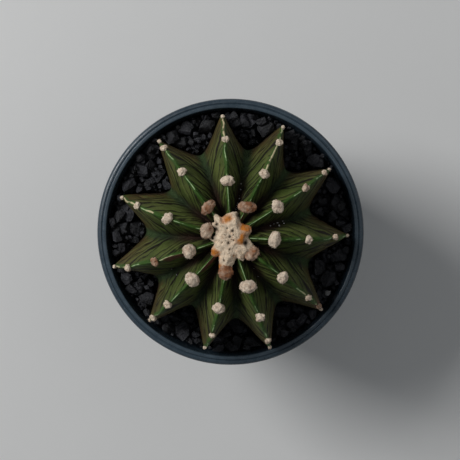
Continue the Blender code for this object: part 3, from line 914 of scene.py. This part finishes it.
# Rusty patches, and pits from holes to pinholes, as (x, y, radius) from the axis. The pits are dented in and
# painted dark as shade.
RUSTY_PATCHES = (
    (-1.2, 6.1, 1.6), (4.9, 3.6, 2.0), (5.9, 3.9, 1.0), (4.1, 0.6, 0.9), (3.0, -1.2, 1.1),
    (-5.3, -4.9, 1.5), (-4.8, -6.3, 1.0), (7.2, -6.2, 1.5), (-2.4, -12.3, 2.2), (-3.7, -9.4, 0.9),
    (0.9, -5.8, 0.4), (-6.6, 5.0, 0.7),
)
PITS = (
    (-5.6, 0.8, 0.8), (-4.7, 2.7, 0.75), (-4.4, 4.3, 0.5), (-5.7, -0.4, 0.5), (2.7, 7.0, 0.85),
    (4.9, -1.8, 0.95), (0.7, 2.2, 0.42), (-0.2, 0.3, 0.36), (-0.6, -1.7, 0.42), (0.9, -0.8, 0.25),
    (-0.2, -3.8, 0.22), (-2.1, -7.2, 0.3), (-2.4, 3.6, 0.16), (-1.8, 0.9, 0.16), (-2.6, -1.6, 0.14),
    (0.2, -0.6, 0.16), (0.9, 0.9, 0.15), (-1.0, 3.0, 0.15),
)
print(len(LOBES), "lobes,", len(RUSTY_PATCHES), "patches,", len(PITS), "pits")


# %% The crown's wool
def crown_wool():
    """A flattened ball, pulled out into lobes, lumpy and pitted, with its coat of hairs."""
    draw = random.Random(11)
    bm = bmesh.new()
    bmesh.ops.create_icosphere(bm, subdivisions=6, radius=1)
    rust = bm.verts.layers.float.new("rust")
    pit_shade = bm.verts.layers.float.new("pit_shade")
    roots = []
    for vert in bm.verts:
        way = vert.co.copy()
        heading = math.degrees(math.atan2(way.y, way.x))
        radius = CROWN_RADIUS
        for lobe, further, spread in LOBES:
            radius += further * bell((heading - lobe + 180) % 360 - 180, spread)
        flat = math.hypot(way.x, way.y)
        place = Vector((way.x * radius, way.y * radius, 0))
        height = math.copysign(abs(way.z) ** 0.7, way.z) * CROWN_THICKNESS / 2
        height -= 0.9 * progress(flat, 0.6, 1.0)
        here = place + CROWN_CENTRE
        lumps = 0.55 * noise.noise(here / 2.1) + 0.28 * noise.noise(here / 0.75)
        lumps += 0.16 * noise.noise(here / 0.3)
        dent = sum(bell(math.hypot(here.x - x, here.y - y), size) for x, y, size in PITS)
        vert.co = here + Vector((0, 0, height + lumps - 1.1 * min(dent, 1)))
        vert.co += Vector((way.x, way.y, 0)) * 0.5 * noise.noise(here / 1.3 + Vector((9, 0, 0)))
        patches = sum(bell(math.hypot(here.x - x, here.y - y), size) for x, y, size in RUSTY_PATCHES)
        vert[rust] = min(1.55 * patches, 1.05) - 0.12
        # How much painted shade each pit gets, by how deep it is dented.
        vert[pit_shade] = min(1.2 * dent, 1) if way.z > 0 else 0
        if way.z > 0.05 and dent < 0.2:
            roots.append((vert.co.copy(), way, vert[rust]))
    for root, way, tint in draw.choices(roots, k=CROWN_HAIRS):
        count = len(bm.verts)
        upward = way + Vector((0, 0, 0.4))
        lay_hair(bm, root - 0.08 * way, upward, draw.uniform(0.25, 0.6), HAIR_RADIUS, draw)
        bm.verts.ensure_lookup_table()
        for vert in bm.verts[count:]:
            vert[rust] = tint
    bmesh.ops.recalc_face_normals(bm, faces=bm.faces)
    return mesh_object("wool_crown", bm)


crown = crown_wool()
crown.data.shade_smooth()
finish_piece(crown, wool_material("crown_felt", CROWN_CREAM, CROWN_RUST), ["crown_wool"])
print("crown:", len(crown.data.polygons), "faces")

# %% [markdown]
# ## Crushed lava
#
# The top dressing is crushed rock: every stone is a chunk with flat broken faces. Twenty stones and eight
# chips are made by cutting a block with random planes, as a crusher does, and each is used many times, turned
# and scaled.
#
# To lie as real stones do, they are **dropped**. A height map holds how high the pile is at each point of
# the pot. Each stone is tried in a few places, sinks until it touches the pile, and stays where it came to
# rest lowest. Middling stones make the bed, large ones go over them, and small ones and chips find their
# way into the hollows. The bed is let rise a little towards the wall, as it does in a pot that has been
# carried about.


# %% Broken stones
def broken_stone(draw, cuts, edge):
    """A block about 1 across, broken by flat cuts, with its sharp edges just taken off."""
    bm = bmesh.new()
    bmesh.ops.create_cube(bm, size=1)
    for _ in range(cuts):
        way = Vector([draw.gauss(0, 1) for _ in range(3)]).normalized()
        middle = way * draw.uniform(0.33, 0.47)
        everything = bm.verts[:] + bm.edges[:] + bm.faces[:]
        cut = bmesh.ops.bisect_plane(bm, geom=everything, plane_co=middle, plane_no=way, clear_outer=True)
        rim = [part for part in cut["geom_cut"] if isinstance(part, bmesh.types.BMEdge)]
        if rim:
            bmesh.ops.contextual_create(bm, geom=rim)
    bmesh.ops.dissolve_degenerate(bm, dist=0.01, edges=bm.edges)
    bmesh.ops.bevel(bm, geom=bm.edges[:], affect="EDGES", offset=edge, segments=1, profile=0.5, material=-1)
    bmesh.ops.triangulate(bm, faces=bm.faces)
    bmesh.ops.recalc_face_normals(bm, faces=bm.faces)
    mesh = bpy.data.meshes.new("stone")
    bm.to_mesh(mesh)
    bm.free()
    return mesh


stone_draw = random.Random(21)
STONES = [broken_stone(stone_draw, 13, 0.018) for _ in range(20)]
CHIPS = [broken_stone(stone_draw, 5, 0.03) for _ in range(8)]
print("faces in a stone:", [len(stone.polygons) for stone in STONES + CHIPS])

# %% The height map
CELL = 0.4
HALF_WIDTH = 42.4
CELLS = int(2 * HALF_WIDTH / CELL)
CELL_MIDDLES = (np.arange(CELLS) + 0.5) * CELL - HALF_WIDTH
CELL_X, CELL_Y = np.meshgrid(CELL_MIDDLES, CELL_MIDDLES, indexing="ij")
MIX_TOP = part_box("potting_mix")[1].z / MM
GRIT_TOP = RIM_Z - 8
POT_BASE_RADIUS = 32.2
PLANT_CLEARANCE = 0.25
WALL_CLEARANCE = 0.15
BLOCKED = 1e3  # the height of a cell on which nothing may lie


def pot_inside(height):
    """The radius of the pot's wall on the inside, at this height."""
    return POT_BASE_RADIUS + (MOUTH_RADIUS - POT_BASE_RADIUS) * height / RIM_Z


def girth_outline(polar=101):
    """The plant's radius at each whole degree of heading, at the height of the top stones."""
    headings, radii = [], []
    for rib in range(len(RIBS)):
        for share in np.linspace(0, 1, 24, endpoint=False):
            place = skin_point(rib, float(share), polar)[0]
            headings.append(math.degrees(math.atan2(place.y, place.x)) % 360)
            radii.append(math.hypot(place.x, place.y))
    order = np.argsort(headings)
    around = np.array(headings)[order]
    return np.interp(np.arange(360), around, np.array(radii)[order], period=360)


def open_ground():
    """The distance from the axis of each cell, and whether it lies between the plant and the pot's wall."""
    radius = np.hypot(CELL_X, CELL_Y)
    heading = np.degrees(np.arctan2(CELL_Y, CELL_X)) % 360
    plant = girth_outline()[np.round(heading).astype(int) % 360]
    wall = pot_inside(GRIT_TOP + 5)
    return radius, (radius > plant + PLANT_CLEARANCE) & (radius < wall - WALL_CLEARANCE)


def cells_near(node, distance):
    """The cells around a small piece that must stay in sight."""
    low, high = (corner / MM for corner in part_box(node))
    return np.hypot(CELL_X - (low.x + high.x) / 2, CELL_Y - (low.y + high.y) / 2) < distance


FROM_AXIS, GROUND = open_ground()
GROUND_CELLS = np.argwhere(GROUND)
WALL_CELLS = np.argwhere(GROUND & (FROM_AXIS > 35))
wall_height = (FROM_AXIS + WALL_CLEARANCE - POT_BASE_RADIUS) / (MOUTH_RADIUS - POT_BASE_RADIUS) * RIM_Z
pile = np.where(GROUND, np.maximum(MIX_TOP + 0.3, wall_height), BLOCKED)
print(f"open ground: {GROUND.sum() * CELL * CELL:.0f} square mm, mix top at {MIX_TOP:.1f} mm")


# %% Dropping a stone
def shell_points(mesh):
    """Points spread over a stone's faces, for feeling where it touches."""
    corners = np.array([vert.co for vert in mesh.vertices])
    points = [corners]
    for face in mesh.polygons:
        a, b, c = corners[list(face.vertices)]
        points.append(np.array([(a + b + c) / 3, (a + b) / 2, (b + c) / 2, (c + a) / 2]))
    return np.concatenate(points)


BANKED_UP = 0.25  # how much higher the pile may lie for each millimetre nearer the wall
FEELERS = {mesh.name: shell_points(mesh) for mesh in STONES + CHIPS}


def cells_of(points):
    """The rows and columns of the cells below some points."""
    return np.clip(((points[:, :2] + HALF_WIDTH) / CELL).astype(int), 0, CELLS - 1).T


def drop(draw, mesh, size, tries, tilt, ceiling, at=None, cells=GROUND_CELLS):
    """Finds where a stone comes to rest below the ceiling, and adds it to the pile.

    Returns its matrix, or None if it found no place.
    """
    best = None
    for _ in range(tries):
        turn = Matrix.Rotation(draw.uniform(0, math.tau), 3, "Z")
        turn = turn @ Matrix.Rotation(draw.gauss(0, tilt), 3, "X")
        turn = turn @ Matrix.Rotation(draw.gauss(0, tilt), 3, "Y")
        shape = turn @ Matrix.Diagonal(size)
        points = FEELERS[mesh.name] @ np.array(shape).T
        if at is None:
            cell = cells[draw.randrange(len(cells))]
            place = Vector((*(cell * CELL - HALF_WIDTH), 0))
        else:
            place = Vector((at[0] + draw.uniform(-1, 1), at[1] + draw.uniform(-1, 1), 0))
        spread = points[:, :2] + np.array(place)[:2]
        rows, columns = cells_of(spread)
        if not GROUND[rows, columns].all():
            continue
        height = (pile[rows, columns] - points[:, 2]).max()
        if (points[:, 2] + height > ceiling[rows, columns]).any():
            continue
        score = height - BANKED_UP * place.length
        if best is None or score < best[0]:
            best = (score, height, shape, place, points, rows, columns)
    if best is None:
        return None
    _, height, shape, place, points, rows, columns = best
    np.maximum.at(pile, (rows, columns), points[:, 2] + height)
    return Matrix.Translation((place.x, place.y, height)) @ shape.to_4x4()


def stone_size(draw, length):
    """Length, width and height of a stone: wider than it is high, as one that has come to rest."""
    return Vector((length, length * draw.uniform(0.68, 0.95), length * draw.uniform(0.45, 0.75)))


print(len(FEELERS), "shapes can be dropped")


# %% The pile
def pour_grit():
    """Middling stones first, large ones over them, then small ones and chips in the hollows."""
    draw = random.Random(8)
    laid = []

    def lay(shapes, count, shortest, longest, tries, tilt, ceiling, cells=GROUND_CELLS):
        for _ in range(count):
            mesh = draw.choice(shapes)
            size = stone_size(draw, draw.uniform(shortest, longest))
            matrix = drop(draw, mesh, size, tries, tilt, ceiling, cells=cells)
            if matrix is not None:
                laid.append((mesh, matrix))

    highest = GRIT_TOP + np.interp(FROM_AXIS, [28, 40], [2.0, 6.8])
    lay(STONES, 420, 3.4, 5.4, 12, 0.4, highest - 3.4)
    pile[cells_near("pumice_grain", 1.7)] = BLOCKED
    for node in sorted(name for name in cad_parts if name.startswith("grit_stone")):
        low, high = (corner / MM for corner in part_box(node))
        middle, size = (low + high) / 2, high - low
        mesh = draw.choice(STONES)
        length = max(size.x, size.y) * 1.05
        matrix = drop(draw, mesh, Vector((length, length * 0.8, size.z * 0.9)), 20, 0.15, highest + 1, middle)
        if matrix is not None:
            laid.append((mesh, matrix))
    lay(STONES, 260, 6.0, 9.2, 30, 0.3, highest)
    lay(STONES, 200, 3.6, 6.4, 30, 0.4, highest, WALL_CELLS)
    lay(STONES, 140, 2.4, 4.0, 20, 0.5, highest)
    lay(CHIPS, 300, 0.7, 1.7, 14, 0.6, highest)
    return laid


grit_laid = pour_grit()
shown = pile[GROUND & (pile < BLOCKED)]
print(len(grit_laid), "stones laid")
print(f"pile from {shown.min():.1f} to {shown.max():.1f} mm, mean {shown.mean():.1f} mm")


# %% Stones into one piece
def grit_mesh(laid):
    """All the stones as one mesh, each with a shade of its own from 0 to 1."""
    bm = bmesh.new()
    tint = None
    for number, (mesh, matrix) in enumerate(laid):
        count = len(bm.verts)
        bm.from_mesh(mesh)
        tint = tint or bm.verts.layers.float.new("tint")
        bm.verts.ensure_lookup_table()
        shade = (math.sin(number * 12.9898) * 43758.5453) % 1
        for vert in bm.verts[count:]:
            vert.co = matrix @ vert.co
            vert[tint] = shade
    bmesh.ops.recalc_face_normals(bm, faces=bm.faces)
    return bm


grit = mesh_object("lava_grit", grit_mesh(grit_laid))
print(len(grit.data.polygons), "faces of grit")

# %% [markdown]
# Lava is black, but not evenly: fresh breaks have a faint blue-grey sheen, pores hold shadow, and dust dulls
# the upper faces. Each stone also has a shade of its own, written on its vertices.


# %% Lava material
LAVA_BLACK = (0.011, 0.0115, 0.014, 1)
LAVA_GREY = (0.031, 0.032, 0.040, 1)
# Painted shade for the pores.
PORE_SHADE = (0.003, 0.003, 0.003, 1)
LAVA_DUST = (0.12, 0.115, 0.11, 1)


def lava_material():
    finish, tree, shader, place = new_material("black_lava")
    own = attribute(tree, "tint")
    shade = grouped(tree, MOTTLE, {"Place": place, "Features per mm": 0.6, "Contrast": 1.0})["Shade"]
    colour = mixed(tree, own, LAVA_BLACK, LAVA_GREY)
    pores = add(tree, "ShaderNodeTexVoronoi", {"Vector": place, "Scale": 2.6}).outputs["Distance"]
    # Painted shade: dark spots where the pores hold shadow.
    colour = mixed(tree, rescale(tree, pores, 0.25, 0.05, 0.0, 0.6), colour, PORE_SHADE)
    colour = mixed(tree, 1.0, colour, shade, "MULTIPLY")
    specks = grouped(tree, DUST, {"Place": place, "Specks per mm": 1.6, "Amount": 0.20})["Mask"]
    colour = mixed(tree, sums(tree, "MULTIPLY", specks, 0.4), colour, LAVA_DUST)
    tree.links.new(colour, shader.inputs["Base Color"])
    rough = rescale(tree, clouds(tree, place, 1.1, 3), 0.3, 0.7, 0.32, 0.72)
    tree.links.new(rough, shader.inputs["Roughness"])
    shader.inputs["Specular IOR Level"].default_value = 0.65
    relief = bump(tree, clouds(tree, place, 3.5, 5, 0.65), 0.30, 0.8)
    relief = bump(tree, clouds(tree, place, 0.9, 4, 0.7), 1.1, 0.8, relief)
    pits = rescale(tree, pores, 0.3, 0.0, 1.0, 0.0)
    tree.links.new(bump(tree, pits, 0.15, 0.5, relief), shader.inputs["Normal"])
    return finish


LAVA_NODES = ["grit_layer"] + sorted(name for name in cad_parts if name.startswith("grit_stone"))
finish_piece(grit, lava_material(), LAVA_NODES)
print("grit finished")


# %% [markdown]
# ## One pale grain
#
# A single grain of pumice has found its way in, by the wall at the front right, with a few crumbs that
# washed into the furrows by the crown. Pumice is broken too, but softer, so its edges are rounder.


# %% Pumice
PUMICE_GREY = (0.50, 0.50, 0.50, 1)
# Painted shade for the pumice's pores.
PUMICE_PORE_SHADE = (0.16, 0.15, 0.14, 1)


def pumice_material():
    finish, tree, shader, place = new_material("pale_pumice")
    shade = grouped(tree, MOTTLE, {"Place": place, "Features per mm": 0.9, "Contrast": 0.7})["Shade"]
    pores = add(tree, "ShaderNodeTexVoronoi", {"Vector": place, "Scale": 3.0}).outputs["Distance"]
    # Painted shade: the pores are darkened as if in shadow.
    colour = mixed(tree, rescale(tree, pores, 0.3, 0.1, 0.0, 0.7), PUMICE_GREY, PUMICE_PORE_SHADE)
    tree.links.new(mixed(tree, 1.0, colour, shade, "MULTIPLY"), shader.inputs["Base Color"])
    tree.links.new(rescale(tree, pores, 0.0, 0.5, 1.0, 0.85), shader.inputs["Roughness"])
    tree.links.new(bump(tree, pores, 0.2, 0.8), shader.inputs["Normal"])
    return finish


def pumice_grain():
    """One of the stone shapes, rounded off and brought to the grain's own place and size."""
    low, high = (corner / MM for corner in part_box("pumice_grain"))
    size = high - low
    draw = random.Random(5)
    bm = bmesh.new()
    bm.from_mesh(draw.choice(STONES))
    bmesh.ops.subdivide_edges(bm, edges=bm.edges, cuts=2, use_grid_fill=True)
    bmesh.ops.smooth_vert(bm, verts=bm.verts, factor=0.6, use_axis_x=True, use_axis_y=True, use_axis_z=True)
    for vert in bm.verts:
        vert.co *= 1 + 0.10 * noise.noise(vert.co * 5)
    place = Matrix.Translation((low + high) / 2) @ Matrix.Diagonal((size.x, size.y, size.z, 1))
    bmesh.ops.transform(bm, matrix=place, verts=bm.verts)
    return mesh_object("pale_grain", bm, smooth_angle=40)


PUMICE = pumice_material()
finish_piece(pumice_grain(), PUMICE, ["pumice_grain"])
print("grain laid")

# %% Crumbs
# Where crumbs have caught: (rib whose anticlockwise furrow it is, polar angle, how many).
CRUMBS = ((1, 19, 5), (1, 24, 7), (1, 30, 3), (3, 33, 5), (3, 40, 3), (8, 47, 2), (5, 30, 2))


def crumbs():
    """Crumbs that lie in the furrows, each resting on the skin."""
    draw = random.Random(31)
    bm = bmesh.new()
    for rib, polar, count in CRUMBS:
        for _ in range(count):
            share, down = 0.5 + draw.gauss(0, 0.06), polar + draw.gauss(0, 3)
            place = skin_point(rib, share, down)[0]
            size = draw.uniform(0.16, 0.36)
            start = len(bm.verts)
            bm.from_mesh(draw.choice(CHIPS))
            bm.verts.ensure_lookup_table()
            turn = Matrix.Rotation(draw.uniform(0, math.tau), 3, Vector((1, 2, 3)).normalized())
            for vert in bm.verts[start:]:
                vert.co = place + Vector((0, 0, size * 0.45)) + turn @ (vert.co * size)
    return mesh_object("pumice_crumbs", bm)


crumb_piece = crumbs()
crumb_piece.data.materials.append(PUMICE)
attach(crumb_piece, "root")
print(len(crumb_piece.data.polygons), "faces of crumbs")

# %% [markdown]
# ## The pot
#
# The pot is injection-moulded, so it is a solid of revolution: one outline, drawn from the middle of the
# underside out, up the outside, over the rim and down the inside, and spun round the axis. The outline is
# worth care at the rim, because that is all one sees from above: a thin raised lip, a shallow groove, and
# a round bead outside it. The drain holes and the notches in the foot are then cut away.

# %% Sizes of the pot
WALL = 1.3
COLLAR_THICKNESS = 1.9
COLLAR_HEIGHT = 11
BEAD_HEIGHT = 3.4
BEAD_ROUND = 1.4
BEAD_BELOW_LIP = 0.3
LIP_ROUND = 0.4
FOOT_HEIGHT = 3
FOOT_WIDTH = 4.5
FLOOR_Z = FOOT_HEIGHT + 1.5
FOOT_RADIUS = POT_BASE_RADIUS + WALL
POT_SEGMENTS = 192
print(f"a wall of {WALL} mm, and a foot {2 * FOOT_RADIUS:.0f} mm across")


# %% Arcs and straights
def arc(centre_radius, centre_height, radius, start, end, steps):
    """Points of a round stretch of the outline, between two angles in degrees."""
    angles = [math.radians(start + (end - start) * i / steps) for i in range(steps + 1)]
    return [(centre_radius + radius * math.cos(a), centre_height + radius * math.sin(a)) for a in angles]


def straight(start, end, steps):
    """Points along a wall, so that it has enough faces to take the light evenly."""
    return [tuple(a + (b - a) * i / steps for a, b in zip(start, end)) for i in range(steps + 1)]


print(len(arc(0, 0, 1, 0, 90, 6)), "points in a quarter turn")


# %% The pot's outline
def pot_outline():
    """(radius, height) of each point, from the middle of the underside round to the middle of the floor."""
    collar_z = RIM_Z - COLLAR_HEIGHT
    bead_z = RIM_Z - BEAD_HEIGHT
    bead_top = RIM_Z - BEAD_BELOW_LIP
    foot_inner = FOOT_RADIUS - FOOT_WIDTH
    groove = RIM_RADIUS - BEAD_ROUND - 0.25
    outline = [(0, FOOT_HEIGHT), (foot_inner - 0.3, FOOT_HEIGHT)]
    outline += arc(foot_inner + 0.7, 0.4, 0.4, 180, 270, 4)
    outline += arc(FOOT_RADIUS - 0.6, 0.6, 0.6, 270, 360, 5)
    outline += straight((FOOT_RADIUS + 0.03, 1.0), (pot_inside(collar_z - 0.3) + WALL, collar_z - 0.3), 10)
    outline += arc(pot_inside(collar_z) + COLLAR_THICKNESS - 0.35, collar_z + 0.75, 0.35, 270, 360, 4)
    outline += straight((pot_inside(collar_z + 1.2) + COLLAR_THICKNESS, collar_z + 1.2),
                        (pot_inside(bead_z - 0.4) + COLLAR_THICKNESS, bead_z - 0.4), 3)
    outline += arc(RIM_RADIUS - 0.3, bead_z + 0.3, 0.3, 290, 360, 3)
    outline += arc(RIM_RADIUS - BEAD_ROUND, bead_top - BEAD_ROUND, BEAD_ROUND, 0, 90, 10)
    outline += [(groove + 0.12, bead_top - 0.16), (groove - 0.05, bead_top - 0.24)]
    outline += [(groove - 0.2, bead_top - 0.12)]
    outline += arc(groove - 0.55, RIM_Z - 0.25, 0.25, 20, 90, 3)
    outline += arc(MOUTH_RADIUS + LIP_ROUND, RIM_Z - LIP_ROUND, LIP_ROUND, 90, 180, 6)
    outline += straight((pot_inside(RIM_Z - 1), RIM_Z - 1), (pot_inside(FLOOR_Z + 1.2), FLOOR_Z + 1.2), 14)
    outline += [(pot_inside(FLOOR_Z) - 0.35, FLOOR_Z + 0.35), (pot_inside(FLOOR_Z) - 1.2, FLOOR_Z)]
    outline += [(0, FLOOR_Z)]
    return outline


def spun_pot():
    """The outline spun round the axis."""
    bm = bmesh.new()
    points = [bm.verts.new((radius, 0, height)) for radius, height in pot_outline()]
    edges = [bm.edges.new(pair) for pair in zip(points, points[1:])]
    bmesh.ops.spin(bm, geom=points + edges, cent=(0, 0, 0), axis=(0, 0, 1), angle=math.tau,
                   steps=POT_SEGMENTS, use_merge=True)
    bmesh.ops.remove_doubles(bm, verts=bm.verts, dist=0.001)
    bmesh.ops.recalc_face_normals(bm, faces=bm.faces)
    return mesh_object("pot_blank", bm)


print(len(pot_outline()), "points in the outline")

# %% Holes and notches
CENTRE_HOLE = 10
RING_HOLE = 9
RING_HOLES = 4
RING_DISTANCE = 19
NOTCH_WIDTH = 7
NOTCH_HEIGHT = 1.8
NOTCHES = 4


def drainage():
    """Everything that is cut out of the pot's base, as one cutter."""
    bm = bmesh.new()
    places = [(Vector((0, 0, 0)), CENTRE_HOLE)]
    for i in range(RING_HOLES):
        places.append((polar_place(RING_DISTANCE, 360 * (i + 0.5) / RING_HOLES, 0), RING_HOLE))
    for place, width in places:
        bmesh.ops.create_cone(bm, cap_ends=True, segments=48, radius1=width / 2, radius2=width / 2, depth=14,
                              matrix=Matrix.Translation(place))
    for i in range(NOTCHES):
        heading = 360 * i / NOTCHES
        size = Matrix.Diagonal((FOOT_WIDTH + 2, NOTCH_WIDTH, 2 * NOTCH_HEIGHT, 1))
        turn = Matrix.Rotation(math.radians(heading), 4, "Z")
        middle = Matrix.Translation(polar_place(FOOT_RADIUS - FOOT_WIDTH / 2, heading, 0))
        bmesh.ops.create_cube(bm, size=1, matrix=middle @ turn @ size)
    return mesh_object("drainage", bm)


def cut_away(blank, cutter, name):
    """The blank without the cutter's shape, as a new object with nothing left to work out."""
    boolean = blank.modifiers.new("holes", "BOOLEAN")
    boolean.operation = "DIFFERENCE"
    boolean.solver = "EXACT"
    boolean.object = cutter
    seen = blank.evaluated_get(bpy.context.evaluated_depsgraph_get())
    mesh = bpy.data.meshes.new_from_object(seen)
    mesh.name = name
    made = bpy.data.objects.new(name, mesh)
    scene.collection.objects.link(made)
    bpy.data.objects.remove(blank)
    bpy.data.objects.remove(cutter)
    mesh.shade_smooth()
    mesh.set_sharp_from_angle(angle=math.radians(32))
    return made


pot = cut_away(spun_pot(), drainage(), "plastic_pot")
print(len(pot.data.polygons), "faces in the pot")

# %% [markdown]
# Polypropylene is satin, and it shows how it has been handled: long hairline scratches round the rim where
# pots rub together in the stack, a paler edge where the colour has been rubbed, and dust in the groove. The
# scratches follow the circle, so the finish works out heading and radius from the place itself.


# %% Plastic material
SLATE_DARK = (0.014, 0.025, 0.037, 1)
SLATE_BLUE = (0.030, 0.050, 0.070, 1)
WORN_BLUE = (0.13, 0.18, 0.22, 1)
SCRATCH_BLUE = (0.22, 0.29, 0.34, 1)
GREY_DUST = (0.34, 0.36, 0.37, 1)


def round_coordinates(tree, place):
    """A vector of heading, radius and height, on which a pattern runs round the pot, and the height alone."""
    x, y, height = add(tree, "ShaderNodeSeparateXYZ", {0: place}).outputs
    heading = sums(tree, "ARCTAN2", y, x)
    squares = sums(tree, "ADD", sums(tree, "MULTIPLY", x, x), sums(tree, "MULTIPLY", y, y))
    parts = {0: heading, 1: sums(tree, "SQRT", squares), 2: height}
    return add(tree, "ShaderNodeCombineXYZ", parts).outputs[0], height


def plastic_material():
    finish, tree, shader, place = new_material("slate_blue_plastic")
    ring, height = round_coordinates(tree, place)
    shade = grouped(tree, MOTTLE, {"Place": place, "Features per mm": 0.05, "Contrast": 0.5})["Shade"]
    drawn_out = {0: ring, 1: (2.2, 7.0, 3.0)}
    long_way = add(tree, "ShaderNodeVectorMath", drawn_out, operation="MULTIPLY").outputs[0]
    streaks = clouds(tree, long_way, 1.0, 4, 0.65)
    scratch = rescale(tree, streaks, 0.60, 0.70)
    colour = mixed(tree, rescale(tree, streaks, 0.3, 0.7), SLATE_DARK, SLATE_BLUE)
    worn = sums(tree, "MULTIPLY", rescale(tree, height, RIM_Z - 1.2, RIM_Z), clouds(tree, place, 0.3, 4, 0.6))
    colour = mixed(tree, sums(tree, "MULTIPLY", worn, 0.5), colour, WORN_BLUE)
    colour = mixed(tree, sums(tree, "MULTIPLY", scratch, 0.45), colour, SCRATCH_BLUE)
    colour = mixed(tree, 1.0, colour, shade, "MULTIPLY")
    specks = grouped(tree, DUST, {"Place": place, "Specks per mm": 1.3, "Amount": 0.22})["Mask"]
    colour = mixed(tree, sums(tree, "MULTIPLY", specks, 0.5), colour, GREY_DUST)
    tree.links.new(colour, shader.inputs["Base Color"])
    rough = rescale(tree, clouds(tree, place, 0.5, 4, 0.6), 0.3, 0.7, 0.22, 0.40)
    tree.links.new(sums(tree, "MULTIPLY_ADD", scratch, 0.15, rough), shader.inputs["Roughness"])
    relief = bump(tree, clouds(tree, place, 2.5, 3), 0.04, 0.4)
    tree.links.new(bump(tree, streaks, 0.08, 0.5, relief), shader.inputs["Normal"])
    return finish


finish_piece(pot, plastic_material(), ["pot"])
print("pot finished")


# %% [markdown]
# ## Potting mix
#
# The mix shows only through the drain holes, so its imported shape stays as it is. It still gets a finish of
# its own: dark peat, crumbs of bark and a few pale grains.


# %% Potting mix material
PEAT = (0.016, 0.010, 0.006, 1)
BARK = (0.060, 0.036, 0.020, 1)
PALE_GRAIN = (0.42, 0.39, 0.34, 1)


def mix_material():
    finish, tree, shader, place = new_material("peat_and_bark")
    bits = add(tree, "ShaderNodeTexVoronoi", {"Vector": place, "Scale": 0.9})
    own = add(tree, "ShaderNodeSeparateColor", {"Color": bits.outputs["Color"]}).outputs[0]
    colour = mixed(tree, own, PEAT, BARK)
    colour = mixed(tree, sums(tree, "GREATER_THAN", own, 0.93), colour, PALE_GRAIN)
    shade = grouped(tree, MOTTLE, {"Place": place, "Features per mm": 0.5, "Contrast": 0.9})["Shade"]
    tree.links.new(mixed(tree, 1.0, colour, shade, "MULTIPLY"), shader.inputs["Base Color"])
    tree.links.new(rescale(tree, own, 0.0, 1.0, 0.8, 0.98), shader.inputs["Roughness"])
    relief = bump(tree, bits.outputs["Distance"], 0.6, 0.8)
    tree.links.new(bump(tree, clouds(tree, place, 2.5, 4), 0.3, 0.6, relief), shader.inputs["Normal"])
    return finish


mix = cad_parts["potting_mix"]
mix.data.materials.clear()
mix.data.materials.append(mix_material())
print("mix finished")
